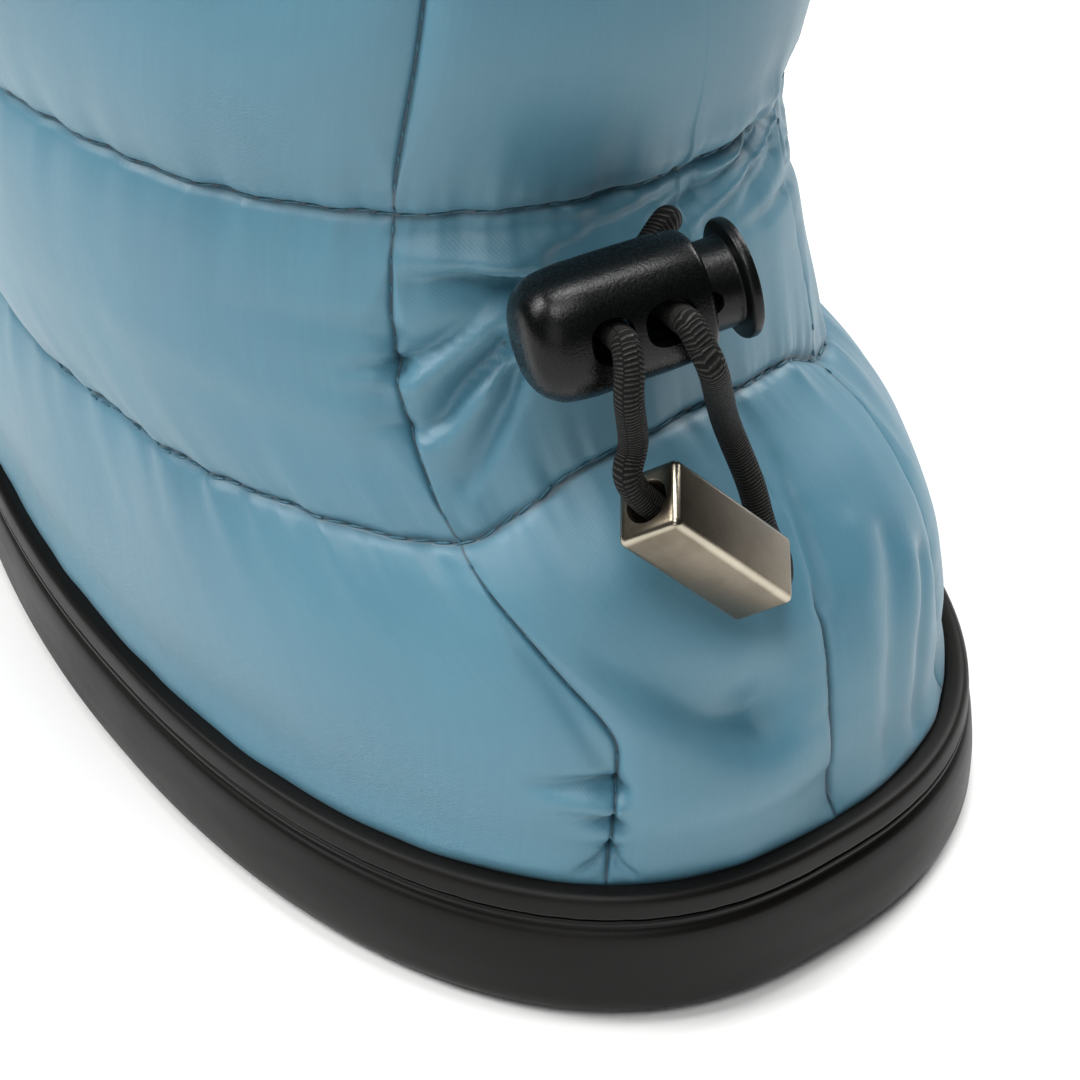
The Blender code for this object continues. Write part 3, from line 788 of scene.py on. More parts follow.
@dataclass(frozen=True)
class BraidedElastic:
    """Braided polyester over rubber: stacked slanting ribs of black yarn, with painted grey glints on the rib tops."""

    yarn: str = "020202"
    # Grey painted onto the rib tops as a painted glint.
    glint: str = "34332f"
    pitch: float = 0.29
    strands: float = 3.0
    slant: float = 1.1
    fuzz: float = 0.25

    def material(self) -> bpy.types.Material:
        """Cord with its braid on the cord's own run: turns round it, then millimetres along it.

        Returns:
            The material.
        """
        material, tree, shader = start_material("braided_elastic")
        run = add_node(tree, "UVMap", uv_map="cloth")
        turns, length = (add_node(tree, "SeparateXYZ", {0: run}, name) for name in ("X", "Y"))
        around = add_node(tree, "Math", {0: turns, 1: self.strands}, operation="MULTIPLY")
        along = add_node(tree, "Math", {0: length, 1: 1.0 / self.pitch}, operation="MULTIPLY")
        slant = add_node(tree, "Math", {0: around, 1: self.slant}, operation="MULTIPLY")
        ribs = []
        for way in ("ADD", "SUBTRACT"):
            phase = add_node(tree, "Math", {0: along, 1: slant}, operation=way)
            turn = add_node(tree, "Math", {0: phase, 1: TAU}, operation="MULTIPLY")
            ribs.append(add_node(tree, "Math", {0: turn}, operation="SINE"))
        column = add_node(tree, "Math", {0: around, 1: TAU}, operation="MULTIPLY")
        over = add_node(tree, "Math", {0: column}, operation="SINE")
        pick = add_node(tree, "MapRange", {"Value": over, "From Min": -0.25, "From Max": 0.25})
        rib = add_node(tree, "Mix", {0: pick, 2: ribs[0], 3: ribs[1]})
        place = add_node(tree, "TexCoord", out="Object")
        fuzz = add_node(tree, "TexNoise", {"Vector": place, "Scale": 1.0 / (self.fuzz * MM), "Detail": 3.0})
        # Painted glint: the rib tops turn grey and the valleys stay black, whatever the light.
        lit = add_node(tree, "Math", {0: rib, 1: fuzz}, operation="MULTIPLY")
        span = add_node(tree, "MapRange", {"Value": lit, "From Min": 0.1, "From Max": 0.6})
        tint = add_node(tree, "Mix", {0: span, 6: linear(self.yarn), 7: linear(self.glint)}, 2, data_type="RGBA")
        gloss = add_node(tree, "MapRange", {"Value": span, "To Min": 0.8, "To Max": 0.36})
        bump = add_node(tree, "Bump", {"Height": rib, "Strength": 0.8, "Distance": 0.05 * MM})
        plug(tree, shader, {"Base Color": tint, "Roughness": gloss, "Normal": bump, "Specular IOR Level": 0.2})
        return material


@dataclass(frozen=True)
class SewingThread:
    """Twisted polyester thread, dark teal, with a lighter teal in random patches as a painted glint."""

    # Lighter teal, laid on in random patches as a painted glint.
    dye: str = "4d7f93"
    deep: str = "1d4656"
    twist: float = 0.5

    def material(self) -> bpy.types.Material:
        """Thread with a twist along it.

        Returns:
            The material.
        """
        material, tree, shader = start_material("twisted_polyester_thread")
        place = add_node(tree, "TexCoord", out="Object")
        twist = add_node(tree, "TexNoise", {"Vector": place, "Scale": 1.0 / (self.twist * MM), "Detail": 2.0})
        # Painted glint: random patches of the lighter teal over the dark teal thread.
        tint = add_node(tree, "Mix", {0: twist, 6: linear(self.deep), 7: linear(self.dye)}, 2, data_type="RGBA")
        bump = add_node(tree, "Bump", {"Height": twist, "Strength": 0.4, "Distance": 0.05 * MM})
        plug(tree, shader, {"Base Color": tint, "Roughness": 0.42, "Normal": bump})
        return material


@dataclass(frozen=True)
class PaleFloor:
    """Matte white laminate sweep."""

    white: str = "f6f6f5"

    def material(self) -> bpy.types.Material:
        """Matte floor.

        Returns:
            The material.
        """
        material, tree, shader = start_material("matte_white_laminate")
        plug(tree, shader, {"Base Color": linear(self.white), "Roughness": 0.85, "Specular IOR Level": 0.1})
        return material


# Sub-assemblies


class Crease(NamedTuple):
    """One fold of the upper, along a route of angles in degrees and heights, with a depth at each end."""

    name: str
    kind: Fold
    route: tuple[tuple[float, float], ...]
    start: float
    end: float
    above: float
    below: float


class Dent(NamedTuple):
    """One soft hollow, or swelling where its depth is negative."""

    name: str
    angle: float
    height: float
    depth: float
    round_about: float
    up_down: float


CREASES = (
    Crease("flank_trough", Fold.TROUGH, ((60, 57.0), (50, 57.4), (43, 57.0), (38.4, 56.4)), 0.10, 0.75, 0.9, 1.7),
    Crease("flank_lip_upper", Fold.RIDGE, ((45, 55.0), (42, 55.1), (38.8, 54.9)), 0.10, 0.45, 0.45, 0.5),
    Crease("flank_pucker_lower", Fold.TROUGH, ((46, 53.6), (42.5, 54.1), (38.9, 53.7)), 0.10, 0.65, 0.35, 0.6),
    Crease("flank_lip_lower", Fold.RIDGE, ((45, 52.6), (42, 52.9), (38.9, 52.8)), 0.10, 0.40, 0.45, 0.7),
    Crease("flank_faint", Fold.TROUGH, ((50, 51.9), (41.8, 51.8)), 0.05, 0.25, 0.5, 0.9),
    Crease("flank_nick", Fold.TROUGH, ((46, 48.6), (42, 49.3), (39.8, 49.3)), 0.10, 0.45, 0.35, 0.6),
    Crease("flank_nick_lip", Fold.RIDGE, ((44, 48.2), (41.5, 48.3), (39.2, 48.2)), 0.10, 0.40, 0.5, 0.5),
    Crease("flank_broad", Fold.RIDGE, ((76, 51.6), (65, 51.3), (56, 50.6), (46, 49.4)), 0.20, 0.40, 2.4, 3.0),
    Crease("flank_broad_under", Fold.TROUGH, ((68, 48.2), (56, 47.4), (46, 46.4)), 0.10, 0.30, 1.8, 2.6),
    Crease("heel_fold_top", Fold.TROUGH, ((34.2, 61.2), (30, 61.1), (26, 60.6), (22, 60.0)), 0.60, 3.20, 0.5, 1.9),
    Crease("heel_fold_top_lip", Fold.RIDGE, ((35, 62.9), (29, 62.7), (20, 61.7)), 0.30, 0.90, 1.1, 0.6),
    Crease("heel_fold_middle", Fold.TROUGH, ((38, 53.9), (34, 55.5), (30.3, 57.0), (25, 59.0)), 1.70, 0.60, 1.4, 0.45),
    Crease("heel_fold_middle_lip", Fold.RIDGE, ((37, 52.8), (33, 54.3), (28.5, 56.0)), 0.50, 0.25, 0.7, 1.8),
    Crease("heel_fold_low", Fold.TROUGH, ((37.6, 48.9), (34.4, 50.3), (31.0, 52.4), (25, 55.2)), 0.90, 2.40, 1.5, 0.5),
    Crease("heel_fold_low_lip", Fold.RIDGE, ((36.4, 47.9), (33.0, 49.2), (28.6, 51.8)), 0.25, 0.60, 0.8, 1.7),
    Crease("heel_fold_last", Fold.TROUGH, ((33.5, 45.6), (30.7, 47.6), (28.3, 49.5), (24, 53)), 0.50, 1.60, 1.3, 0.7),
    Crease("casing_shade", Fold.TROUGH, ((36, 64.8), (27, 64.6), (18, 64.3), (12, 64.0)), 0.60, 0.70, 0.9, 1.2),
    Crease("casing_roll", Fold.RIDGE, ((20, 67.6), (8, 67.5), (-4, 67.8), (-18, 68.6)), 0.30, 0.75, 1.6, 1.6),
    Crease("casing_under_roll", Fold.TROUGH, ((20, 61.8), (12, 62.8), (5, 63.8), (-2, 64.4)), 0.60, 0.90, 0.7, 2.2),
    Crease("casing_fold_1", Fold.RIDGE, ((4, 63.5), (-4, 64.8), (-13, 65.4), (-22, 67.4)), 0.35, 0.60, 0.6, 0.5),
    Crease("casing_fold_1_dip", Fold.TROUGH, ((1, 63.0), (-9, 64.1), (-17, 64.6), (-25, 65.8)), 0.50, 0.90, 0.4, 0.9),
    Crease("casing_fold_2", Fold.RIDGE, ((-2, 62.0), (-10, 63.1), (-17, 63.6), (-26, 64.8)), 0.30, 0.50, 0.7, 0.6),
    Crease("casing_fold_2_dip", Fold.TROUGH, ((-4, 61.2), (-10, 62.2), (-16, 62.7), (-24, 63.5)), 0.40, 0.80, 0.5, 1.2),
    Crease("casing_fold_3_dip", Fold.TROUGH, ((-8, 60.4), (-13, 60.9), (-18, 61.5), (-25, 62.0)), 0.20, 0.60, 0.5, 0.8),
    Crease("casing_fold_4_dip", Fold.TROUGH, ((-11, 59.4), (-18, 58.9), (-26, 58.8)), 0.20, 0.55, 0.5, 0.8),
    Crease("heel_hollow_fold", Fold.TROUGH, ((23, 33.4), (16.5, 30.2), (11, 27.3), (6.6, 26.0)), 0.60, 2.20, 4.2, 2.0),
    Crease("heel_low_ridge", Fold.RIDGE, ((25, 18.8), (15, 19.6), (6, 19.8), (-0.5, 20.4)), 0.20, 0.55, 3.0, 2.6),
    Crease("seam_roll", Fold.TROUGH, ((37.2, 38), (32.2, 32), (28.2, 26.5), (26.6, 24)), 0.05, 0.45, 0.8, 0.8),
    Crease("seam_pucker_1", Fold.TROUGH, ((35, 23.2), (30, 23.3), (26, 22.7)), 0.35, 1.80, 0.6, 0.8),
    Crease("seam_pucker_1_lip", Fold.RIDGE, ((34, 21.4), (29.5, 21.3), (26.4, 21.0)), 0.25, 1.00, 0.8, 0.7),
    Crease("seam_pucker_2", Fold.TROUGH, ((30.5, 20.0), (28.4, 19.6), (26.2, 19.2)), 0.30, 1.40, 0.4, 0.55),
    Crease("seam_pucker_3", Fold.RIDGE, ((31, 18.0), (28.6, 17.7), (26.6, 17.8)), 0.10, 0.40, 0.7, 0.7),
    Crease("seam_pucker_4", Fold.TROUGH, ((29.4, 14.9), (28.2, 15.3), (26.8, 16.1)), 0.50, 1.00, 0.35, 0.4),
    Crease("seam_pucker_5", Fold.TROUGH, ((24.2, 14.5), (25.4, 15.1), (26.6, 16.0)), 0.50, 0.90, 0.35, 0.4),
    Crease("medial_ridge_1", Fold.RIDGE, ((-11, 36), (-7.8, 29), (-6.8, 22), (-6.8, 14)), 0.30, 0.35, 2.0, 1.9),
    Crease("medial_trough_1", Fold.TROUGH, ((-16, 34), (-12, 28.5), (-10.6, 23), (-10.2, 15)), 0.50, 0.30, 1.6, 1.2),
    Crease("medial_ridge_2", Fold.RIDGE, ((-19, 31), (-15, 24), (-14, 15)), 0.40, 0.25, 1.7, 1.7),
    Crease("medial_trough_2", Fold.TROUGH, ((-23, 30), (-19, 22.5), (-17.8, 15)), 0.70, 0.40, 1.2, 1.5),
    Crease("dart_tip", Fold.TROUGH, ((-5.5, 42), (-3.8, 38), (-2.6, 33)), 0.30, 0.90, 1.1, 0.7),
)
# The hidden side gathers at its seam much as the side in view does, upside down.
MEDIAL_TURN, MEDIAL_FLIP = 6.0, 114.5
CREASES += tuple(
    c._replace(name="medial_" + c.name, route=tuple((MEDIAL_TURN - a, MEDIAL_FLIP - h) for a, h in c.route),
               above=c.below, below=c.above) for c in CREASES if c.name.startswith("flank"))
DENTS = (
    Dent("flank_swell", 62.0, 26.0, -0.60, 16.0, 7.0),
    Dent("medial_swell", -66.0, 27.0, -0.50, 13.0, 7.0),
    Dent("medial_hollow", -92.0, 25.0, 0.50, 9.0, 6.0),
    Dent("flank_hollow", 88.0, 29.0, 0.50, 9.0, 6.0),
    Dent("calf_swell", 24.0, 80.0, -0.40, 13.0, 8.0),
    Dent("heel_puff", 20.0, 38.0, -0.70, 7.0, 5.0),
    Dent("heel_hollow", 6.4, 27.4, 1.00, 5.2, 3.4),
)


@dataclass
class Upper:
    """Quilted upper: one padded wall, nylon outside and knit inside, open at the collar and underneath."""

    last: Last
    nylon: Nylon = field(default_factory=Nylon)
    knit: MattedFibre = BRUSHED_TRICOT
    heel_columns: int = 90
    lateral_columns: int = 146
    medial_columns: int = 84
    band_rows: tuple[int, ...] = (66, 58, 44, 30)
    line_depth: float = 2.2
    line_reach: float = 4.0
    line_nick: float = 0.4
    nick_reach: float = 0.4
    # Width of the painted shade along a quilting line.
    line_width: float = 0.22
    pull_change: float = 0.16
    pull_pitch: float = 6.5
    seam_depth: float = 0.9
    seam_reach_flank: float = 2.0
    seam_reach_heel: float = 0.9
    seam_nick: float = 0.4
    seam_nick_reach: float = 0.2
    # Width of the painted shade along a seam.
    seam_width: float = 0.13
    seam_arm: float = 34.0
    rim_tuck: float = 1.5
    rim_roll: float = 1.0
    rim_roll_up: float = 0.2
    rim_roll_width: float = 2.4
    dart_top: float = 36.0
    hem_line: float = 109.0
    hem_share: float = 0.28
    hem_round: float = 2.2
    hem_steps: int = 9
    pucker: float = 0.20
    pucker_pitch: float = 2.7
    fold_points: int = 9
    fold_reach: float = 3.2
    fold_steep: float = 0.75
    wall_in: float = 4.2
    wall_down: float = 2.5
    foot_wall: float = 3.0
    cup_inset: float = 2.8
    cup_floor: float = 5.3
    facing: float = 104.0
    inner_heights: tuple[float, ...] = (109.0, 104.0, 97.0, 90.0, 84.0, 78.0, 73.0, 68.0, 64.0, 60.0, 56.0, 52.0, 48.5,
                                        45.0, 41.5, 38.0, 35.0, 32.0, 29.0, 26.0, 23.0, 20.0)

    def columns(self) -> Array:
        """Columns round the upper, closest together at the heel panel.

        Returns:
            Share of each column.
        """
        heel = np.linspace(0.0, 1.0, self.heel_columns, endpoint=False)
        heel = 0.4 * heel + 0.3 * (1.0 - np.cos(math.pi * heel))
        lateral = np.linspace(0.0, 1.0, self.lateral_columns, endpoint=False)
        medial = np.linspace(1.0, 0.0, self.medial_columns, endpoint=False)
        return np.concatenate([heel, 1.0 + 0.16 * lateral + 0.84 * lateral ** 1.6,
                               3.0 - 0.16 * medial - 0.84 * medial ** 1.6, 3.0 + heel])

    def lay_out(self) -> None:
        """Lay the outer face out as rows and columns on the last, with its angles, heights and cloth run."""
        shares = self.columns()
        low = self.last.low_line(self.last.column_angle(shares, self.last.low_line_level))
        rim, mid, top, hem = (np.full_like(low, height) for height in (
            self.last.rim_top, self.last.mid_line, self.last.top_line, self.last.collar_top - self.hem_round))
        levels = [rim, low, mid, top, hem]
        rows, self.line_rows = [], {}
        for name, below, above, count in zip(("rim", "low", "mid", "top"), levels, levels[1:], self.band_rows):
            self.line_rows[name] = len(rows)
            step = np.linspace(0.0, 1.0, count, endpoint=False)
            step = 0.55 * step + 0.45 * 0.5 * (1.0 - np.cos(math.pi * step))
            rows += [below + s * (above - below) for s in step]
        self.height = np.array(rows)
        self.angle = self.last.column_angle(shares[None], self.height)
        self.line_rows["hem"] = int(np.argmin(np.abs(self.height[:, 0] - self.hem_line)))
        self.seam_columns = {seam: int(np.argmin(np.abs(shares - seam.value))) for seam in Seam}
        station, side = self.last.envelope(self.angle, self.height)
        self.flat = np.stack([station, side, self.height + self.last.upper_lift(station, self.height)], -1)
        along = np.roll(self.flat, -1, 1) - np.roll(self.flat, 1, 1)
        normal = np.cross(along, np.gradient(self.flat, axis=0))
        self.normal = normal / np.linalg.norm(normal, axis=2)[..., None]
        if np.sum(self.normal[:, 0, 0]) > 0.0:
            self.normal = -self.normal
        middle = self.flat[self.line_rows["low"]]
        self.run = run_along(np.vstack([middle, middle[:1]]))
        climb = np.linalg.norm(np.diff(self.flat, axis=0), axis=2)
        self.climb = np.concatenate([np.zeros((1, climb.shape[1])), np.cumsum(climb, 0)])

    def rim_fade(self) -> Array:
        """Share from 0 at the sole's rim to 1 a little above it."""
        return np.clip((self.height - self.last.rim_top) / self.rim_tuck, 0.0, 1.0)

    def quilting(self) -> tuple[Array, Array]:
        """Depth of the quilting and the seams, and how strongly each point takes painted shade along their lines.

        Returns:
            Depths under the envelope, and painted shade from 0 to 1.
        """
        height, angle = self.height, self.angle
        run = self.run[None, :-1]
        sag, crease_shade, puckers = (np.zeros_like(height) for _ in range(3))
        lines = ((self.last.low_line(angle), 1.0), (self.last.mid_line, 1.0), (self.last.top_line, 1.0),
                 (self.hem_line, self.hem_share))
        for k, (line, share) in enumerate(lines):
            off = height - line
            far = np.abs(off)
            pull = 1.0 + self.pull_change * ripple(run / self.pull_pitch, 1.1 * k)
            depth = share * pull * self.line_depth * np.exp(-far / (self.line_reach * (0.4 + 0.6 * share)))
            depth += share * self.line_nick * np.exp(-(far / self.nick_reach) ** 2)
            sag = np.maximum(sag, depth)
            # Painted shade along the quilting line.
            crease_shade = np.maximum(crease_shade, np.exp(-(far / self.line_width) ** 2))
            # The puckers above a line don't meet those below it.
            side = np.where(off > 0.0, 0.7, 2.9) + k
            wave = ripple(run / self.pucker_pitch, 0.0) * np.cos(side) + ripple(run / 1.9, 2.0) * np.sin(side)
            puckers += share * wave * beside(far, 1.5, 0.4)
            puckers += 0.25 * share * ripple(run / 6.1, side[0, 0]) * beside(far, 3.5, 1.6)
        for seam in Seam:
            turn = (angle - self.last.seam_angle(seam, height) + math.pi) % TAU - math.pi
            off = turn * self.seam_arm
            outward = off if seam is not Seam.MEDIAL else -off
            reach = np.where(outward > 0.0, self.seam_reach_flank, self.seam_reach_heel)
            far = np.abs(off)
            fade = np.clip((self.last.collar_top - 3.0 - height) / 10.0, 0.0, 1.0)
            if seam is Seam.DART:
                reach = np.full_like(reach, self.seam_reach_heel)
                fade = fade * smooth_step((self.dart_top - height) / 6.0)
            depth = self.seam_depth * np.exp(-far / reach)
            depth += self.seam_nick * np.exp(-(far / self.seam_nick_reach) ** 2)
            sag = np.maximum(sag, fade * depth)
            # Painted shade along the seam.
            crease_shade = np.maximum(crease_shade, fade * np.exp(-(far / self.seam_width) ** 2))
            wave = ripple(height / 3.1, seam.value) * np.where(outward > 0.0, 1.0, 0.5)
            puckers += fade * wave * beside(far, 1.3, 0.4)
        return (sag - self.pucker * puckers) * self.rim_fade(), crease_shade

    def lay_crease(self, crease: Crease, rise: Array) -> None:
        """Add one crease to the rise of the outer face.

        Args:
            crease: The fold.
            rise: Height over the envelope at each point, which takes the fold.
        """
        knots = np.arange(len(crease.route), dtype=float)
        fine = np.linspace(0.0, knots[-1], self.fold_points * (len(knots) - 1) + 1)
        turns, levels = (monotone(knots, np.array(v, float), fine) for v in zip(*crease.route))
        line = np.array([self.last.place(a, h) for a, h in zip(turns, levels)])
        widest = max(crease.above, crease.below)
        near = (np.linalg.norm(self.flat - line.mean(0), axis=2)
                < self.fold_reach * widest + np.ptp(line, axis=0).max())
        points, normals = self.flat[near], self.normal[near]
        gaps = points[:, None] - line[None]
        nearest = np.argmin(np.sum(gaps ** 2, 2), 1)
        tangent = np.gradient(line, axis=0)
        tangent = (tangent / np.linalg.norm(tangent, axis=1)[:, None])[nearest]
        gap = gaps[np.arange(len(points)), nearest]
        run = np.sum(gap * tangent, 1)
        across = gap - run[:, None] * tangent
        side = np.sign(np.sum(np.cross(normals, tangent) * across, 1))
        side = np.where(np.abs(tangent[:, 2]) > self.fold_steep, side, np.sign(across[:, 2]))
        far = np.linalg.norm(across, axis=1)
        width = np.where(side > 0.0, crease.above, crease.below)
        share = (nearest + np.clip(run / 0.6, -0.5, 0.5)) / (len(line) - 1.0)
        beyond = np.where((nearest == 0) | (nearest == len(line) - 1), np.abs(run), 0.0)
        depth = crease.start + (crease.end - crease.start) * np.clip(share, 0.0, 1.0)
        shape = np.exp(-(far / width) ** 2) * np.exp(-(beyond / (0.6 + 0.5 * widest)) ** 2)
        rise[near] += crease.kind.value * depth * shape

    def folds(self) -> Array:
        """Folds, dents and slow unevenness of the outer face.

        Returns:
            Height over the envelope at each point.
        """
        rise = np.zeros_like(self.height)
        for crease in CREASES:
            self.lay_crease(crease, rise)
        for dent in DENTS:
            gap = self.flat - self.last.place(dent.angle, dent.height)
            rise -= dent.depth * np.exp(-(np.hypot(gap[..., 0], gap[..., 1]) / dent.round_about) ** 2
                                        - (gap[..., 2] / dent.up_down) ** 2)
        # Padding is never quite even: slow waves of a fifth of a millimetre.
        x, y, z = np.moveaxis(self.flat, -1, 0)
        rise += 0.16 * np.sin(x / 4.1 + 0.07 * z) * np.sin(y / 5.3 + 1.0) + 0.14 * np.sin(z / 3.7 + 0.11 * y + 0.06 * x)
        rise += 0.20 * np.sin(0.13 * x - 0.09 * y + 0.17 * z)
        roll = self.rim_roll + 0.10 * ripple(self.run[None, :-1] / 9.0, 0.8)
        above = self.height - self.last.rim_top - self.rim_roll_up
        return rise * self.rim_fade() + roll * np.exp(-(above / self.rim_roll_width) ** 2)

    def inner_row(self, shares: Array, height: float, depth: float, drop: float) -> Array:
        """One row of the wall's inner face.

        Args:
            shares: Shares of the columns.
            height: Height on the envelope.
            depth: Depth inside the envelope there.
            drop: How far the row then lies lower.

        Returns:
            Points of the row.
        """
        heights = np.full_like(shares, height)
        station, side = self.last.envelope(self.last.column_angle(shares, heights), heights)
        station, side = self.last.inset(station, side, depth)
        return np.stack([station, side, heights - drop + self.last.upper_lift(station, heights)], -1)

    def inner_rows(self, shares: Array) -> list[Array]:
        """Rows over the turned hem, down the lining and into the cup.

        Args:
            shares: Shares of the columns.

        Returns:
            Points of each row.
        """
        half = 0.5 * self.wall_in
        rows = [self.inner_row(shares, self.last.collar_top, half * (1.0 - math.cos(turn)),
                               half * (1.0 - math.sin(turn))) for turn in np.linspace(0.0, math.pi, self.hem_steps)]
        rows += [self.inner_row(shares, height + self.wall_down, self.wall_in, self.wall_down)
                 for height in self.inner_heights]
        foot = self.last.column_angle(shares, self.last.rim_top)
        inside = self.cup_inset + self.foot_wall
        for amount, height in ((inside + 0.8, 14.0), (inside, 10.0), (inside, self.cup_floor),
                               (self.cup_inset, self.cup_floor), (self.cup_inset, 9.0), (self.cup_inset, 12.2)):
            station, side = self.last.sole_loop(foot, amount, height)
            rows.append(np.stack([station, side, height + self.last.toe_lift(station)], -1))
        return rows

    def build(self) -> bpy.types.Object:
        """Build the wall and dress it.

        Returns:
            The padded upper.
        """
        self.lay_out()
        sag, crease_shade = self.quilting()
        self.outer = self.flat + self.normal * (self.folds() - sag)[..., None]
        inner = np.array(self.inner_rows(self.columns()))
        places = np.concatenate([self.outer, inner])
        # The outer face carries the painted crease shade; the inner rows carry none.
        marks = np.concatenate([crease_shade, np.zeros(inner.shape[:2])])
        wide = self.run[None].repeat(len(places), 0)
        climb = np.concatenate([self.climb, self.climb[-1:] + 0.5 + np.arange(1.0, len(inner) + 1.0)[:, None]])
        cloth = np.stack([wide, np.concatenate([climb, climb[:, :1]], 1)], -1)
        bm = skin(self.last.frame(places), wrap_rows=True, cloth=cloth, marks=marks)
        hem_end = len(self.outer) + self.hem_steps
        lining = range(hem_end + sum(h > self.facing for h in self.inner_heights),
                       hem_end + len(self.inner_heights) + 2)
        for i, face in enumerate(bm.faces):
            shell = Shell.LINING if i // places.shape[1] in lining else Shell.NYLON
            face.material_index = shell.value
        piece = make_piece("upper_quilted", bm, self.nylon.material(), self.knit.material())
        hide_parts("upper")
        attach(piece, "bootie")
        return piece


@dataclass
class Stitching:
    """Lockstitch along the quilting and the hem, and the tight stitches of the heel panel's seams."""

    upper: Upper
    thread: SewingThread = field(default_factory=SewingThread)
    pitch: float = 1.85
    length: float = 1.6
    radius: float = 0.14
    proud: float = 0.08
    seam_stitch: tuple[float, float, float] = (2.4, 0.7, 0.10)
    seam_from: float = 15.5
    seam_tops: tuple[tuple[Seam, float], ...] = ((Seam.LATERAL, 108.0), (Seam.MEDIAL, 108.0), (Seam.DART, 32.0))

    def row(self, bm: bmesh.types.BMesh, line: Array, normals: Array, pitch: float, length: float,
            radius: float) -> None:
        """Sew one row of stitches.

        Args:
            bm: Mesh that takes the stitches.
            line: Points of the surface along the row.
            normals: Outward directions there.
            pitch: Step from stitch to stitch.
            length: Length of one stitch.
            radius: Radius of the thread.
        """
        run = run_along(line)
        stops = np.arange(0.5 * pitch, run[-1] - 0.3 * pitch, pitch)
        behind, places, ahead = (read_along(line, run, stops + share * pitch) for share in (-0.4, 0.0, 0.4))
        outs = read_along(normals, run, stops)
        for i, (place, along, out) in enumerate(zip(places, ahead - behind, outs)):
            along = along / np.linalg.norm(along)
            out = out - np.dot(out, along) * along
            out /= np.linalg.norm(out)
            cross = np.cross(out, along)
            # Each stitch lies a little askew.
            along = along + 0.10 * cross + 0.05 * math.sin(2.3 * i) * out
            origin = self.upper.last.frame(place + self.proud * out)
            axes = [(self.upper.last.frame(place + v) - self.upper.last.frame(place)) for v in
                    (radius * cross, radius * out, 0.5 * length * along)]
            turn = Matrix(np.array(axes).T.tolist()).to_4x4()
            bmesh.ops.create_uvsphere(bm, u_segments=6, v_segments=5, radius=1.0,
                                      matrix=Matrix.Translation(Vector(origin)) @ turn)

    def build(self) -> bpy.types.Object:
        """Sew all the rows.

        Returns:
            The stitches as one piece.
        """
        bm = bmesh.new()
        outer, normal = self.upper.outer, self.upper.normal
        for name in ("low", "mid", "top", "hem"):
            k = self.upper.line_rows[name]
            self.row(bm, np.vstack([outer[k], outer[k, :1]]), np.vstack([normal[k], normal[k, :1]]), self.pitch,
                     self.length, self.radius)
        for seam, top in self.seam_tops:
            k = self.upper.seam_columns[seam]
            rows = (self.upper.height[:, k] > self.seam_from) & (self.upper.height[:, k] < top)
            self.row(bm, outer[rows, k], normal[rows, k], *self.seam_stitch)
        piece = make_piece("upper_stitching", bm, self.thread.material())
        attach(piece, "bootie")
        return piece


class SideRow(NamedTuple):
    """One place on the sole's side profile."""

    inset: float
    height: float


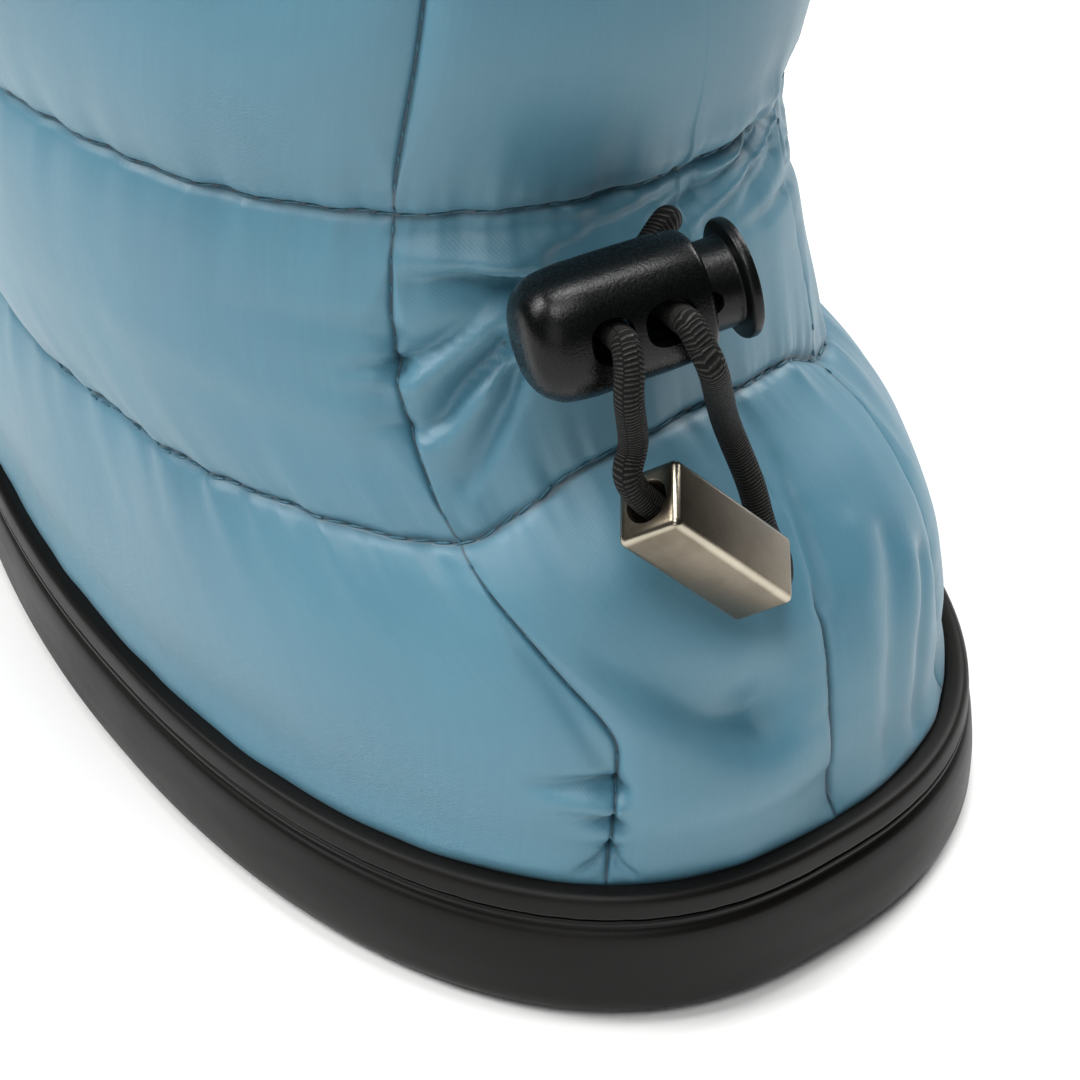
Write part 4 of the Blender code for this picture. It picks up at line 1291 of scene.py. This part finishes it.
@dataclass
class Outsole:
    """Cup sole: lugs and pockets under it, a ribbed side, a flat rim and the cup that holds the upper."""

    last: Last
    rubber: SoleRubber = field(default_factory=SoleRubber)
    columns: int = 300
    side: tuple[SideRow, ...] = (
        SideRow(2.2, 0.0), SideRow(0.7, 0.45), SideRow(0.0, 1.6), SideRow(-0.25, 5.0), SideRow(-0.1, 9.2),
        SideRow(0.55, 9.75), SideRow(0.6, 10.15), SideRow(0.05, 10.5), SideRow(0.08, 10.96), SideRow(0.7, 11.06),
        SideRow(0.7, 11.16), SideRow(0.02, 11.26), SideRow(0.0, 11.6), SideRow(0.05, 12.9), SideRow(0.5, 13.4),
        SideRow(1.9, 13.4), SideRow(2.3, 12.9), SideRow(2.5, 5.0))
    parting: float = 11.15
    flash: float = 0.07
    tread_shares: tuple[float, ...] = (0.04, 0.15, 0.3, 0.45, 0.6, 0.75, 0.88)
    floor_shares: tuple[float, ...] = (0.8, 0.55, 0.3, 0.06)
    tread_depth: float = 2.0
    tread_border: float = 7.0
    pockets: tuple[tuple[float, float], ...] = ((9.0, 17.0), (22.0, 30.0), (35.0, 43.0), (84.0, 90.0), (94.0, 100.0))

    def profile(self) -> Array:
        """Side profile with its corners rounded.

        Returns:
            Inset and height of each place.
        """
        rows = np.array(self.side, float)
        for _ in range(2):
            near = 0.8 * rows[:-1] + 0.2 * rows[1:]
            far = 0.2 * rows[:-1] + 0.8 * rows[1:]
            rows = np.vstack([rows[:1], np.stack([near, far], 1).reshape(-1, 2)[1:-1], rows[-1:]])
        return rows

    def pocket(self, start: float, end: float) -> bpy.types.Object:
        """Shape of one tread pocket between two lugs.

        Args:
            start: Station where the pocket starts.
            end: Station where it ends.

        Returns:
            A closed shape to cut away.
        """
        turns = np.linspace(0.0, TAU, 720, endpoint=False)
        station, side = self.last.sole_loop(turns, self.tread_border, 0.0)
        stops = np.linspace(start, end, 4)
        edges = []
        for part in (turns < math.pi, turns >= math.pi):
            order = np.argsort(station[part])
            edges.append(np.interp(stops, station[part][order], side[part][order]))
        plan = np.vstack([np.stack([stops, edges[0]], 1), np.stack([stops[::-1], edges[1][::-1]], 1)])
        rings = [np.column_stack([plan, np.full(len(plan), h)]) for h in (-1.0, self.tread_depth)]
        return make_piece("tread_pocket", close_ends(skin(self.last.frame(np.array(rings)))))

    def build(self) -> bpy.types.Object:
        """Build the sole and dress it.

        Returns:
            The sole.
        """
        angle = np.linspace(0.0, TAU, self.columns, endpoint=False)
        rings = []
        tread = self.last.sole_loop(angle, *self.side[0])
        for share in self.tread_shares:
            a, w = self.last.shrink(*tread, share)
            rings.append(np.stack([a, w, self.last.toe_lift(a) + self.last.arch_lift(a, w)], -1))
        for inset, height in self.profile():
            a, w = self.last.sole_loop(angle, inset, height)
            low = max(0.0, 1.0 - height / 5.0)
            flash = self.flash * ripple(angle * 14.0, 0.4) * math.exp(-((height - self.parting) / 0.3) ** 2)
            z = height + flash + self.last.toe_lift(a) + low * self.last.arch_lift(a, w)
            rings.append(np.stack([a, w, z], -1))
        floor = self.last.sole_loop(angle, *self.side[-1])
        for share in self.floor_shares:
            a, w = self.last.shrink(*floor, share)
            rings.append(np.stack([a, w, self.side[-1].height + self.last.toe_lift(a)], -1))
        bm = close_ends(skin(self.last.frame(np.array(rings))))
        piece = make_piece("outsole_cup", bm, self.rubber.material())
        for start, end in self.pockets:
            cut_away(piece, self.pocket(start, end))
        piece.data.set_sharp_from_angle(angle=math.radians(50.0))
        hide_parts("outsole")
        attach(piece, "bootie")
        return piece


@dataclass
class Insole:
    """Felt insole lying on the floor of the cup."""

    last: Last
    felt: MattedFibre = NEEDLED_FELT
    columns: int = 240
    inset: float = 6.1
    floor: float = 5.0
    loops: tuple[tuple[float, float], ...] = (
        (0.05, 0.3), (0.5, 0.3), (0.99, 0.3), (1.0, 0.6), (1.0, 3.2), (0.993, 3.6), (0.975, 3.8), (0.75, 3.8),
        (0.5, 3.8), (0.25, 3.8), (0.04, 3.8))

    def build(self) -> bpy.types.Object:
        """Build the insole and dress it.

        Returns:
            The insole.
        """
        angle = np.linspace(0.0, TAU, self.columns, endpoint=False)
        rings = []
        for share, height in self.loops:
            a, w = self.last.shrink(*self.last.sole_loop(angle, self.inset, self.floor + height), share)
            rings.append(np.stack([a, w, self.floor + height + self.last.toe_lift(a)], -1))
        bm = close_ends(skin(self.last.frame(np.array(rings))))
        piece = make_piece("insole_sheet", bm, self.felt.material())
        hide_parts("insole")
        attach(piece, "bootie")
        return piece


class BarrelRow(NamedTuple):
    """One level along the lock's barrel."""

    along: float
    half_height: float
    half_depth: float


@dataclass
class CordLock:
    """Push-button cord lock: a rounded barrel with two cross holes, and the sprung button in its bore."""

    last: Last
    plastic: SparkedPlastic = field(default_factory=SparkedPlastic)
    button_plastic: SparkedPlastic = SparkedPlastic("spark_textured_acetal_button", "070808", 0.22, 0.32)
    jig: Jig = field(default_factory=lambda: Jig((12.95, 12.85, 61.55), (-0.285, -0.945, 0.12),
                                                 (-0.933, 0.294, 0.209)))
    barrel: tuple[BarrelRow, ...] = (
        BarrelRow(-7.25, 1.5, 1.4), BarrelRow(-7.0, 2.8, 2.6), BarrelRow(-6.2, 4.0, 3.6), BarrelRow(-4.8, 4.75, 4.2),
        BarrelRow(-2.4, 4.95, 4.4), BarrelRow(2.5, 4.9, 4.4), BarrelRow(6.25, 4.65, 4.3), BarrelRow(6.6, 4.4, 4.05))
    barrel_round: float = 2.3
    dome: float = 2.45
    lip: tuple[float, ...] = (6.2, 6.35, 6.45, 6.52, 6.57, 6.6)
    facets: int = 80
    button_facets: int = 64
    bore: float = 3.2
    bore_end: float = -5.3
    mouth: float = 3.7
    mouth_from: float = 4.4
    holes: tuple[tuple[float, float], ...] = ((-1.35, 1.7), (3.1, 1.98))
    hole_half_height: float = 1.75
    stem: float = 2.9
    stem_end: float = -3.3
    collar_from: float = 6.3
    collar: float = 3.4
    flange_at: float = 9.2
    flange_thick: float = 1.0
    flange: float = 4.55
    window: tuple[float, float] = (-2.5, 7.5)
    window_half: float = 1.45

    def cut_across(self, piece: bpy.types.Object, along: float, half: float, half_up: float, reach: float,
                   count: int) -> None:
        """Cut an oblong hole through a piece, across the axis.

        Args:
            piece: Piece to cut.
            along: Place of the hole on the axis.
            half: Half of its length.
            half_up: Half of its height.
            reach: How far the cut goes to each side.
            count: Points round the hole.
        """
        loops = np.array([self.jig.cross_ring(along, out, half, half_up, count) for out in (-reach, reach)])
        cut_away(piece, make_piece("cross_hole", close_ends(skin(self.last.frame(loops)))))

    def build_barrel(self) -> bpy.types.Object:
        """Barrel with its bore and its two cross holes.

        Returns:
            The barrel.
        """
        table = np.array(self.barrel, float)
        dome = self.barrel[0].along + self.dome * (1.0 - np.cos(np.linspace(0.0, 0.5 * math.pi, 12)))
        alongs = np.concatenate([dome, np.linspace(-4.4, 6.0, 22), self.lip])
        heights = monotone(table[:, 0], table[:, 1], alongs)
        depths = monotone(table[:, 0], table[:, 2], alongs)
        rows = [self.jig.ring(a, d, h, self.facets, self.barrel_round) for a, h, d in zip(alongs, heights, depths)]
        rows += [self.jig.ring(a, r, r, self.facets) for a, r in (
            (6.6, self.mouth + 0.1), (6.5, self.mouth), (5.5, self.mouth), (self.mouth_from, self.mouth),
            (self.mouth_from, self.bore), (0.0, self.bore), (self.bore_end, self.bore))]
        bm = close_ends(skin(self.last.frame(np.array(rows))))
        piece = make_piece("lock_barrel_moulded", bm, self.plastic.material())
        for along, half in self.holes:
            self.cut_across(piece, along, half, self.hole_half_height, 6.0, 28)
        piece.data.set_sharp_from_angle(angle=math.radians(40.0))
        soften_edges(piece, 0.28, 3, 40.0)
        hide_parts("lock_barrel")
        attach(piece, "bootie")
        return piece

    def build_button(self) -> bpy.types.Object:
        """Button: stem with its window for the cord, and a thin domed flange.

        Returns:
            The button.
        """
        face = self.flange_at + self.flange_thick
        rows = [(self.stem_end, 0.3), (self.stem_end, self.stem - 0.5), (self.stem_end + 0.15, self.stem - 0.2),
                (self.stem_end + 0.5, self.stem), (2.0, self.stem), (self.collar_from, self.stem),
                (self.collar_from + 0.05, self.collar - 0.15), (self.collar_from + 0.2, self.collar),
                (self.flange_at - 0.3, self.collar), (self.flange_at - 0.08, self.collar + 0.08),
                (self.flange_at, self.collar + 0.3),
                (self.flange_at, self.flange - 0.25), (self.flange_at + 0.08, self.flange - 0.08),
                (self.flange_at + 0.25, self.flange), (self.flange_at + 0.7, self.flange),
                (face - 0.12, self.flange - 0.1), (face - 0.02, self.flange - 0.4), (face, self.flange - 1.0),
                (face + 0.02, 2.0), (face + 0.03, 0.3)]
        rings = np.array([self.jig.ring(along, radius, radius, self.button_facets) for along, radius in rows])
        bm = close_ends(skin(self.last.frame(rings)))
        piece = make_piece("lock_button_moulded", bm, self.button_plastic.material())
        start, end = self.window
        self.cut_across(piece, 0.5 * (start + end), 0.5 * (end - start), self.window_half, 5.0, 40)
        piece.data.set_sharp_from_angle(angle=math.radians(40.0))
        soften_edges(piece, 0.12, 2, 50.0)
        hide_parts("lock_button")
        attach(piece, "button")
        return piece


@dataclass
class Bead:
    """Metal block on the loop of the drawcord, with soft edges and a hole through its length."""

    last: Last
    nickel: AntiqueNickel = field(default_factory=AntiqueNickel)
    jig: Jig = field(default_factory=lambda: Jig((5.5, 9.8, 44.5), (-0.129, -0.676, -0.726), (0.705, -0.577, 0.412)))
    size: tuple[float, float, float] = (15.0, 5.8, 5.5)
    edge: float = 0.7
    hole: float = 1.5
    mouth: float = 1.75

    def build(self) -> bpy.types.Object:
        """Build the bead and dress it.

        Returns:
            The bead.
        """
        bm = bmesh.new()
        bmesh.ops.create_cube(bm, size=1.0)
        bmesh.ops.scale(bm, vec=Vector(self.size) * MM, verts=bm.verts)
        bmesh.ops.bevel(bm, geom=list(bm.edges), offset=self.edge * MM, segments=5, profile=0.5, affect="EDGES",
                        material=-1)
        half = 0.5 * np.array(self.size)
        wear = bm.verts.layers.float.new("wear")
        for vert in bm.verts:
            from_edge = np.sort(half - np.abs(np.array(vert.co) / MM))
            vert[wear] = float(np.clip(1.0 - from_edge[1] / self.edge, 0.0, 1.0))
        bmesh.ops.transform(bm, matrix=self.jig.matrix(self.last), verts=bm.verts)
        piece = make_piece("bead_cast", bm, self.nickel.material())
        reach = half[0]
        rows = ((-reach - 1.0, self.mouth + 0.9), (-reach + 0.05, self.mouth), (-reach + 0.5, self.hole),
                (reach - 0.5, self.hole), (reach - 0.05, self.mouth), (reach + 1.0, self.mouth + 0.9))
        hole = skin(self.last.frame(np.array([self.jig.ring(a, r, r, 40) for a, r in rows])))
        cut_away(piece, make_piece("bead_hole", close_ends(hole)))
        piece.data.set_sharp_from_angle(angle=math.radians(35.0))
        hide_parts("bead")
        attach(piece, "bootie")
        return piece


@dataclass
class Drawcord:
    """Elastic drawcord: out of the casing, through the lock and the bead, and back into the casing."""

    last: Last
    lock: CordLock
    bead: Bead
    braid: BraidedElastic = field(default_factory=BraidedElastic)
    radius: float = 1.1
    step: float = 0.22
    path_points: int = 106
    facets: int = 40
    holes: tuple[float, float] = (-0.8, 3.95)
    back_near: tuple[tuple[float, float, float], ...] = ((0.0, -7.9, 0.0), (0.0, -5.4, 0.0), (0.0, -3.8, 0.0))
    back_far: tuple[tuple[float, float, float], ...] = (
        (4.25, -8.0, 2.7), (3.7, -7.2, 2.9), (2.3, -6.7, 2.0), (0.6, -6.1, 0.7), (0.0, -5.0, 0.1), (0.0, -3.6, 0.0))
    front_near: tuple[tuple[float, float, float], ...] = (
        (0.0, 4.2, 0.0), (-0.15, 5.5, -0.25), (-0.5, 6.3, -1.5), (-1.0, 6.4, -3.6))
    front_far: tuple[tuple[float, float, float], ...] = (
        (0.0, 4.2, 0.0), (0.1, 5.5, -0.25), (0.3, 6.3, -1.5), (0.8, 6.3, -3.8))
    near: tuple[tuple[float, float, float], ...] = ((7.2, 15.5, 55.0), (6.8, 16.3, 52.6))
    through: tuple[float, ...] = (-7.5, -2.5, 2.5, 7.5)
    turn: tuple[tuple[float, float, float], ...] = ((8.8, 0.2, 0.0), (9.5, 1.5, 0.0), (9.2, 3.2, 0.0), (7.6, 4.5, 0.0))
    far: tuple[tuple[float, float, float], ...] = ((8.9, 2.6, 45.0), (9.6, 4.6, 51.0))

    def route(self) -> Array:
        """Centre line as even steps on a smooth curve.

        Returns:
            Points of the centre line.
        """
        lock, bead = self.lock.jig, self.bead.jig
        points = [lock.place(self.holes[0] + a, o, u) for a, o, u in self.back_near + self.front_near]
        points += [np.array(p) for p in self.near]
        points += [bead.place(a, 0.0, 0.0) for a in self.through]
        points += [bead.place(*p) for p in self.turn]
        points += [np.array(p) for p in self.far]
        points += [lock.place(self.holes[1] + a, o, u) for a, o, u in (self.back_far + self.front_far)[::-1]]
        route = np.array(points)
        padded = np.vstack([2.0 * route[0] - route[1], route, 2.0 * route[-1] - route[-2]])
        fine = []
        for p0, p1, p2, p3 in zip(padded, padded[1:], padded[2:], padded[3:]):
            for t in np.linspace(0.0, 1.0, 24, endpoint=False):
                fine.append(0.5 * (2.0 * p1 + (p2 - p0) * t + (2.0 * p0 - 5.0 * p1 + 4.0 * p2 - p3) * t * t
                                   + (3.0 * p1 - p0 - 3.0 * p2 + p3) * t ** 3))
        fine = np.array(fine + [route[-1]])
        run = run_along(fine)
        return read_along(fine, run, np.linspace(0.0, run[-1], int(round(run[-1] / self.step)) + 1))

    def build(self, *on_it: bpy.types.Object) -> bpy.types.Object:
        """Build the cord and dress it.

        Args:
            on_it: The pieces that sit on the cord; not used.

        Returns:
            The cord.
        """
        route = self.route()
        tangent = np.gradient(route, axis=0)
        tangent /= np.linalg.norm(tangent, axis=1)[:, None]
        side = np.cross(tangent[0], (0.0, 0.0, 1.0))
        turns = np.linspace(0.0, TAU, self.facets, endpoint=False)
        rings = []
        for place, along in zip(route, tangent):
            side = side - np.dot(side, along) * along
            side /= np.linalg.norm(side)
            other = np.cross(along, side)
            rings.append(place + self.radius * (np.cos(turns)[:, None] * side + np.sin(turns)[:, None] * other))
        run = run_along(route)
        cloth = np.stack(np.meshgrid(np.linspace(0.0, 1.0, self.facets + 1), run), -1)
        bm = close_ends(skin(self.last.frame(np.array(rings)), cloth=cloth))
        piece = make_piece("drawcord_braided", bm, self.braid.material())
        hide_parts("drawcord")
        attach(piece, "bootie")
        path = self.last.frame(route)
        return piece


class SoftBox(NamedTuple):
    """One soft box: metres to the camera's right, towards it and above the floor, watts, and side in metres."""

    name: str
    aside: float
    towards: float
    above: float
    power: float
    size: float


@dataclass
class Studio:
    """Pale floor and backdrop, a key box on the left, two overhead, one behind, a weak one in front, and the camera."""

    target: tuple[float, float, float] = (-0.01311329, 0.01305661, 0.0)
    azimuth: float = 37.26512
    elevation: float = 35.89114
    roll: float = -1.17709
    distance: float = 0.28778159
    lens: float = 95.01379
    boxes: tuple[SoftBox, ...] = (
        SoftBox("key", -0.70, 0.10, 0.75, 6.7, 0.36), SoftBox("above", 0.00, 0.00, 1.00, 5.0, 0.30),
        SoftBox("rim", 0.55, -0.50, 0.75, 7.6, 0.45), SoftBox("over", -0.10, 0.55, 0.90, 4.2, 0.36),
        SoftBox("front", -0.15, 0.85, 0.30, 0.9, 0.50))
    floor: PaleFloor = field(default_factory=PaleFloor)
    floor_reach: float = 0.55
    backdrop: float = 0.92
    fill: float = 0.03
    air: str = "f4f6f8"
    aim_height: float = 0.04
    floor_drop: float = 0.0003

    def axes(self) -> tuple[Vector, Vector, Vector]:
        """Directions of the camera without its roll.

        Returns:
            Right, up and backward.
        """
        turn, tilt = math.radians(self.azimuth), math.radians(self.elevation)
        right = Vector((-math.cos(turn), math.sin(turn), 0.0))
        back = Vector((math.cos(tilt) * math.sin(turn), math.cos(tilt) * math.cos(turn), math.sin(tilt)))
        return right, back.cross(right), back

    def build_camera(self) -> bpy.types.Object:
        """Camera over the heel, from the lateral side.

        Returns:
            The camera.
        """
        right, up, back = self.axes()
        r = math.radians(self.roll)
        level = math.cos(r) * right + math.sin(r) * up
        upright = math.cos(r) * up - math.sin(r) * right
        turn = Matrix((level, upright, back)).transposed().to_4x4()
        data = bpy.data.cameras.new("camera")
        data.lens = self.lens
        data.sensor_width = 36.0
        data.clip_start = 0.01
        camera = bpy.data.objects.new("camera", data)
        camera.matrix_world = Matrix.Translation(Vector(self.target) + self.distance * back) @ turn
        bpy.context.scene.collection.objects.link(camera)
        bpy.context.scene.camera = camera
        return camera

    def add_light(self, box: SoftBox) -> None:
        """Hang one soft box that looks at the heel.

        Args:
            box: Its name, place, power and size.
        """
        right, _, back = self.axes()
        level = Vector((back.x, back.y, 0.0)).normalized()
        aim = Vector(self.target) + Vector((0.0, 0.0, self.aim_height))
        place = Vector(self.target) + box.aside * right + box.towards * level + Vector((0.0, 0.0, box.above))
        data = bpy.data.lights.new(box.name, "AREA")
        data.energy = box.power
        data.size = box.size
        light = bpy.data.objects.new(box.name, data)
        light.location = place
        light.rotation_euler = (aim - place).to_track_quat("-Z", "Y").to_euler()
        bpy.context.scene.collection.objects.link(light)

    def build(self) -> None:
        """Set the floor, the light and the camera."""
        bm = bmesh.new()
        bmesh.ops.create_circle(bm, cap_ends=True, segments=96, radius=self.floor_reach)
        bmesh.ops.translate(bm, vec=(0.0, 0.0, -self.floor_drop), verts=bm.verts)
        floor = make_piece("floor", bm, self.floor.material())
        scene = bpy.context.scene
        world = bpy.data.worlds.new("studio")
        world.use_nodes = True
        tree = world.node_tree
        # The backdrop is pale, but lights the shoe only a little.
        seen = add_node(tree, "LightPath", out="Is Camera Ray")
        pale = add_node(tree, "MapRange", {"Value": seen, "To Min": self.fill, "To Max": self.backdrop})
        plug(tree, tree.nodes["Background"], {"Color": linear(self.air), "Strength": pale})
        scene.world = world
        scene.view_settings.view_transform = "Standard"
        for box in self.boxes:
            self.add_light(box)
        self.build_camera()


def main() -> None:
    """Build every piece in order and report it."""
    logging.basicConfig(level=logging.INFO, format="%(name)s: %(message)s")
    Studio().build()
    last = Last()
    lock, bead, upper = CordLock(last), Bead(last), Upper(last)
    barrel, button, block = lock.build_barrel(), lock.build_button(), bead.build()
    made = [barrel, button, block, Drawcord(last, lock, bead).build(barrel, button, block), Outsole(last).build(),
            Insole(last).build(), upper.build(), Stitching(upper).build()]
    for piece in made:
        LOG.info("%s: %d faces", piece.name, len(piece.data.polygons))


if __name__ == "__main__":
    main()
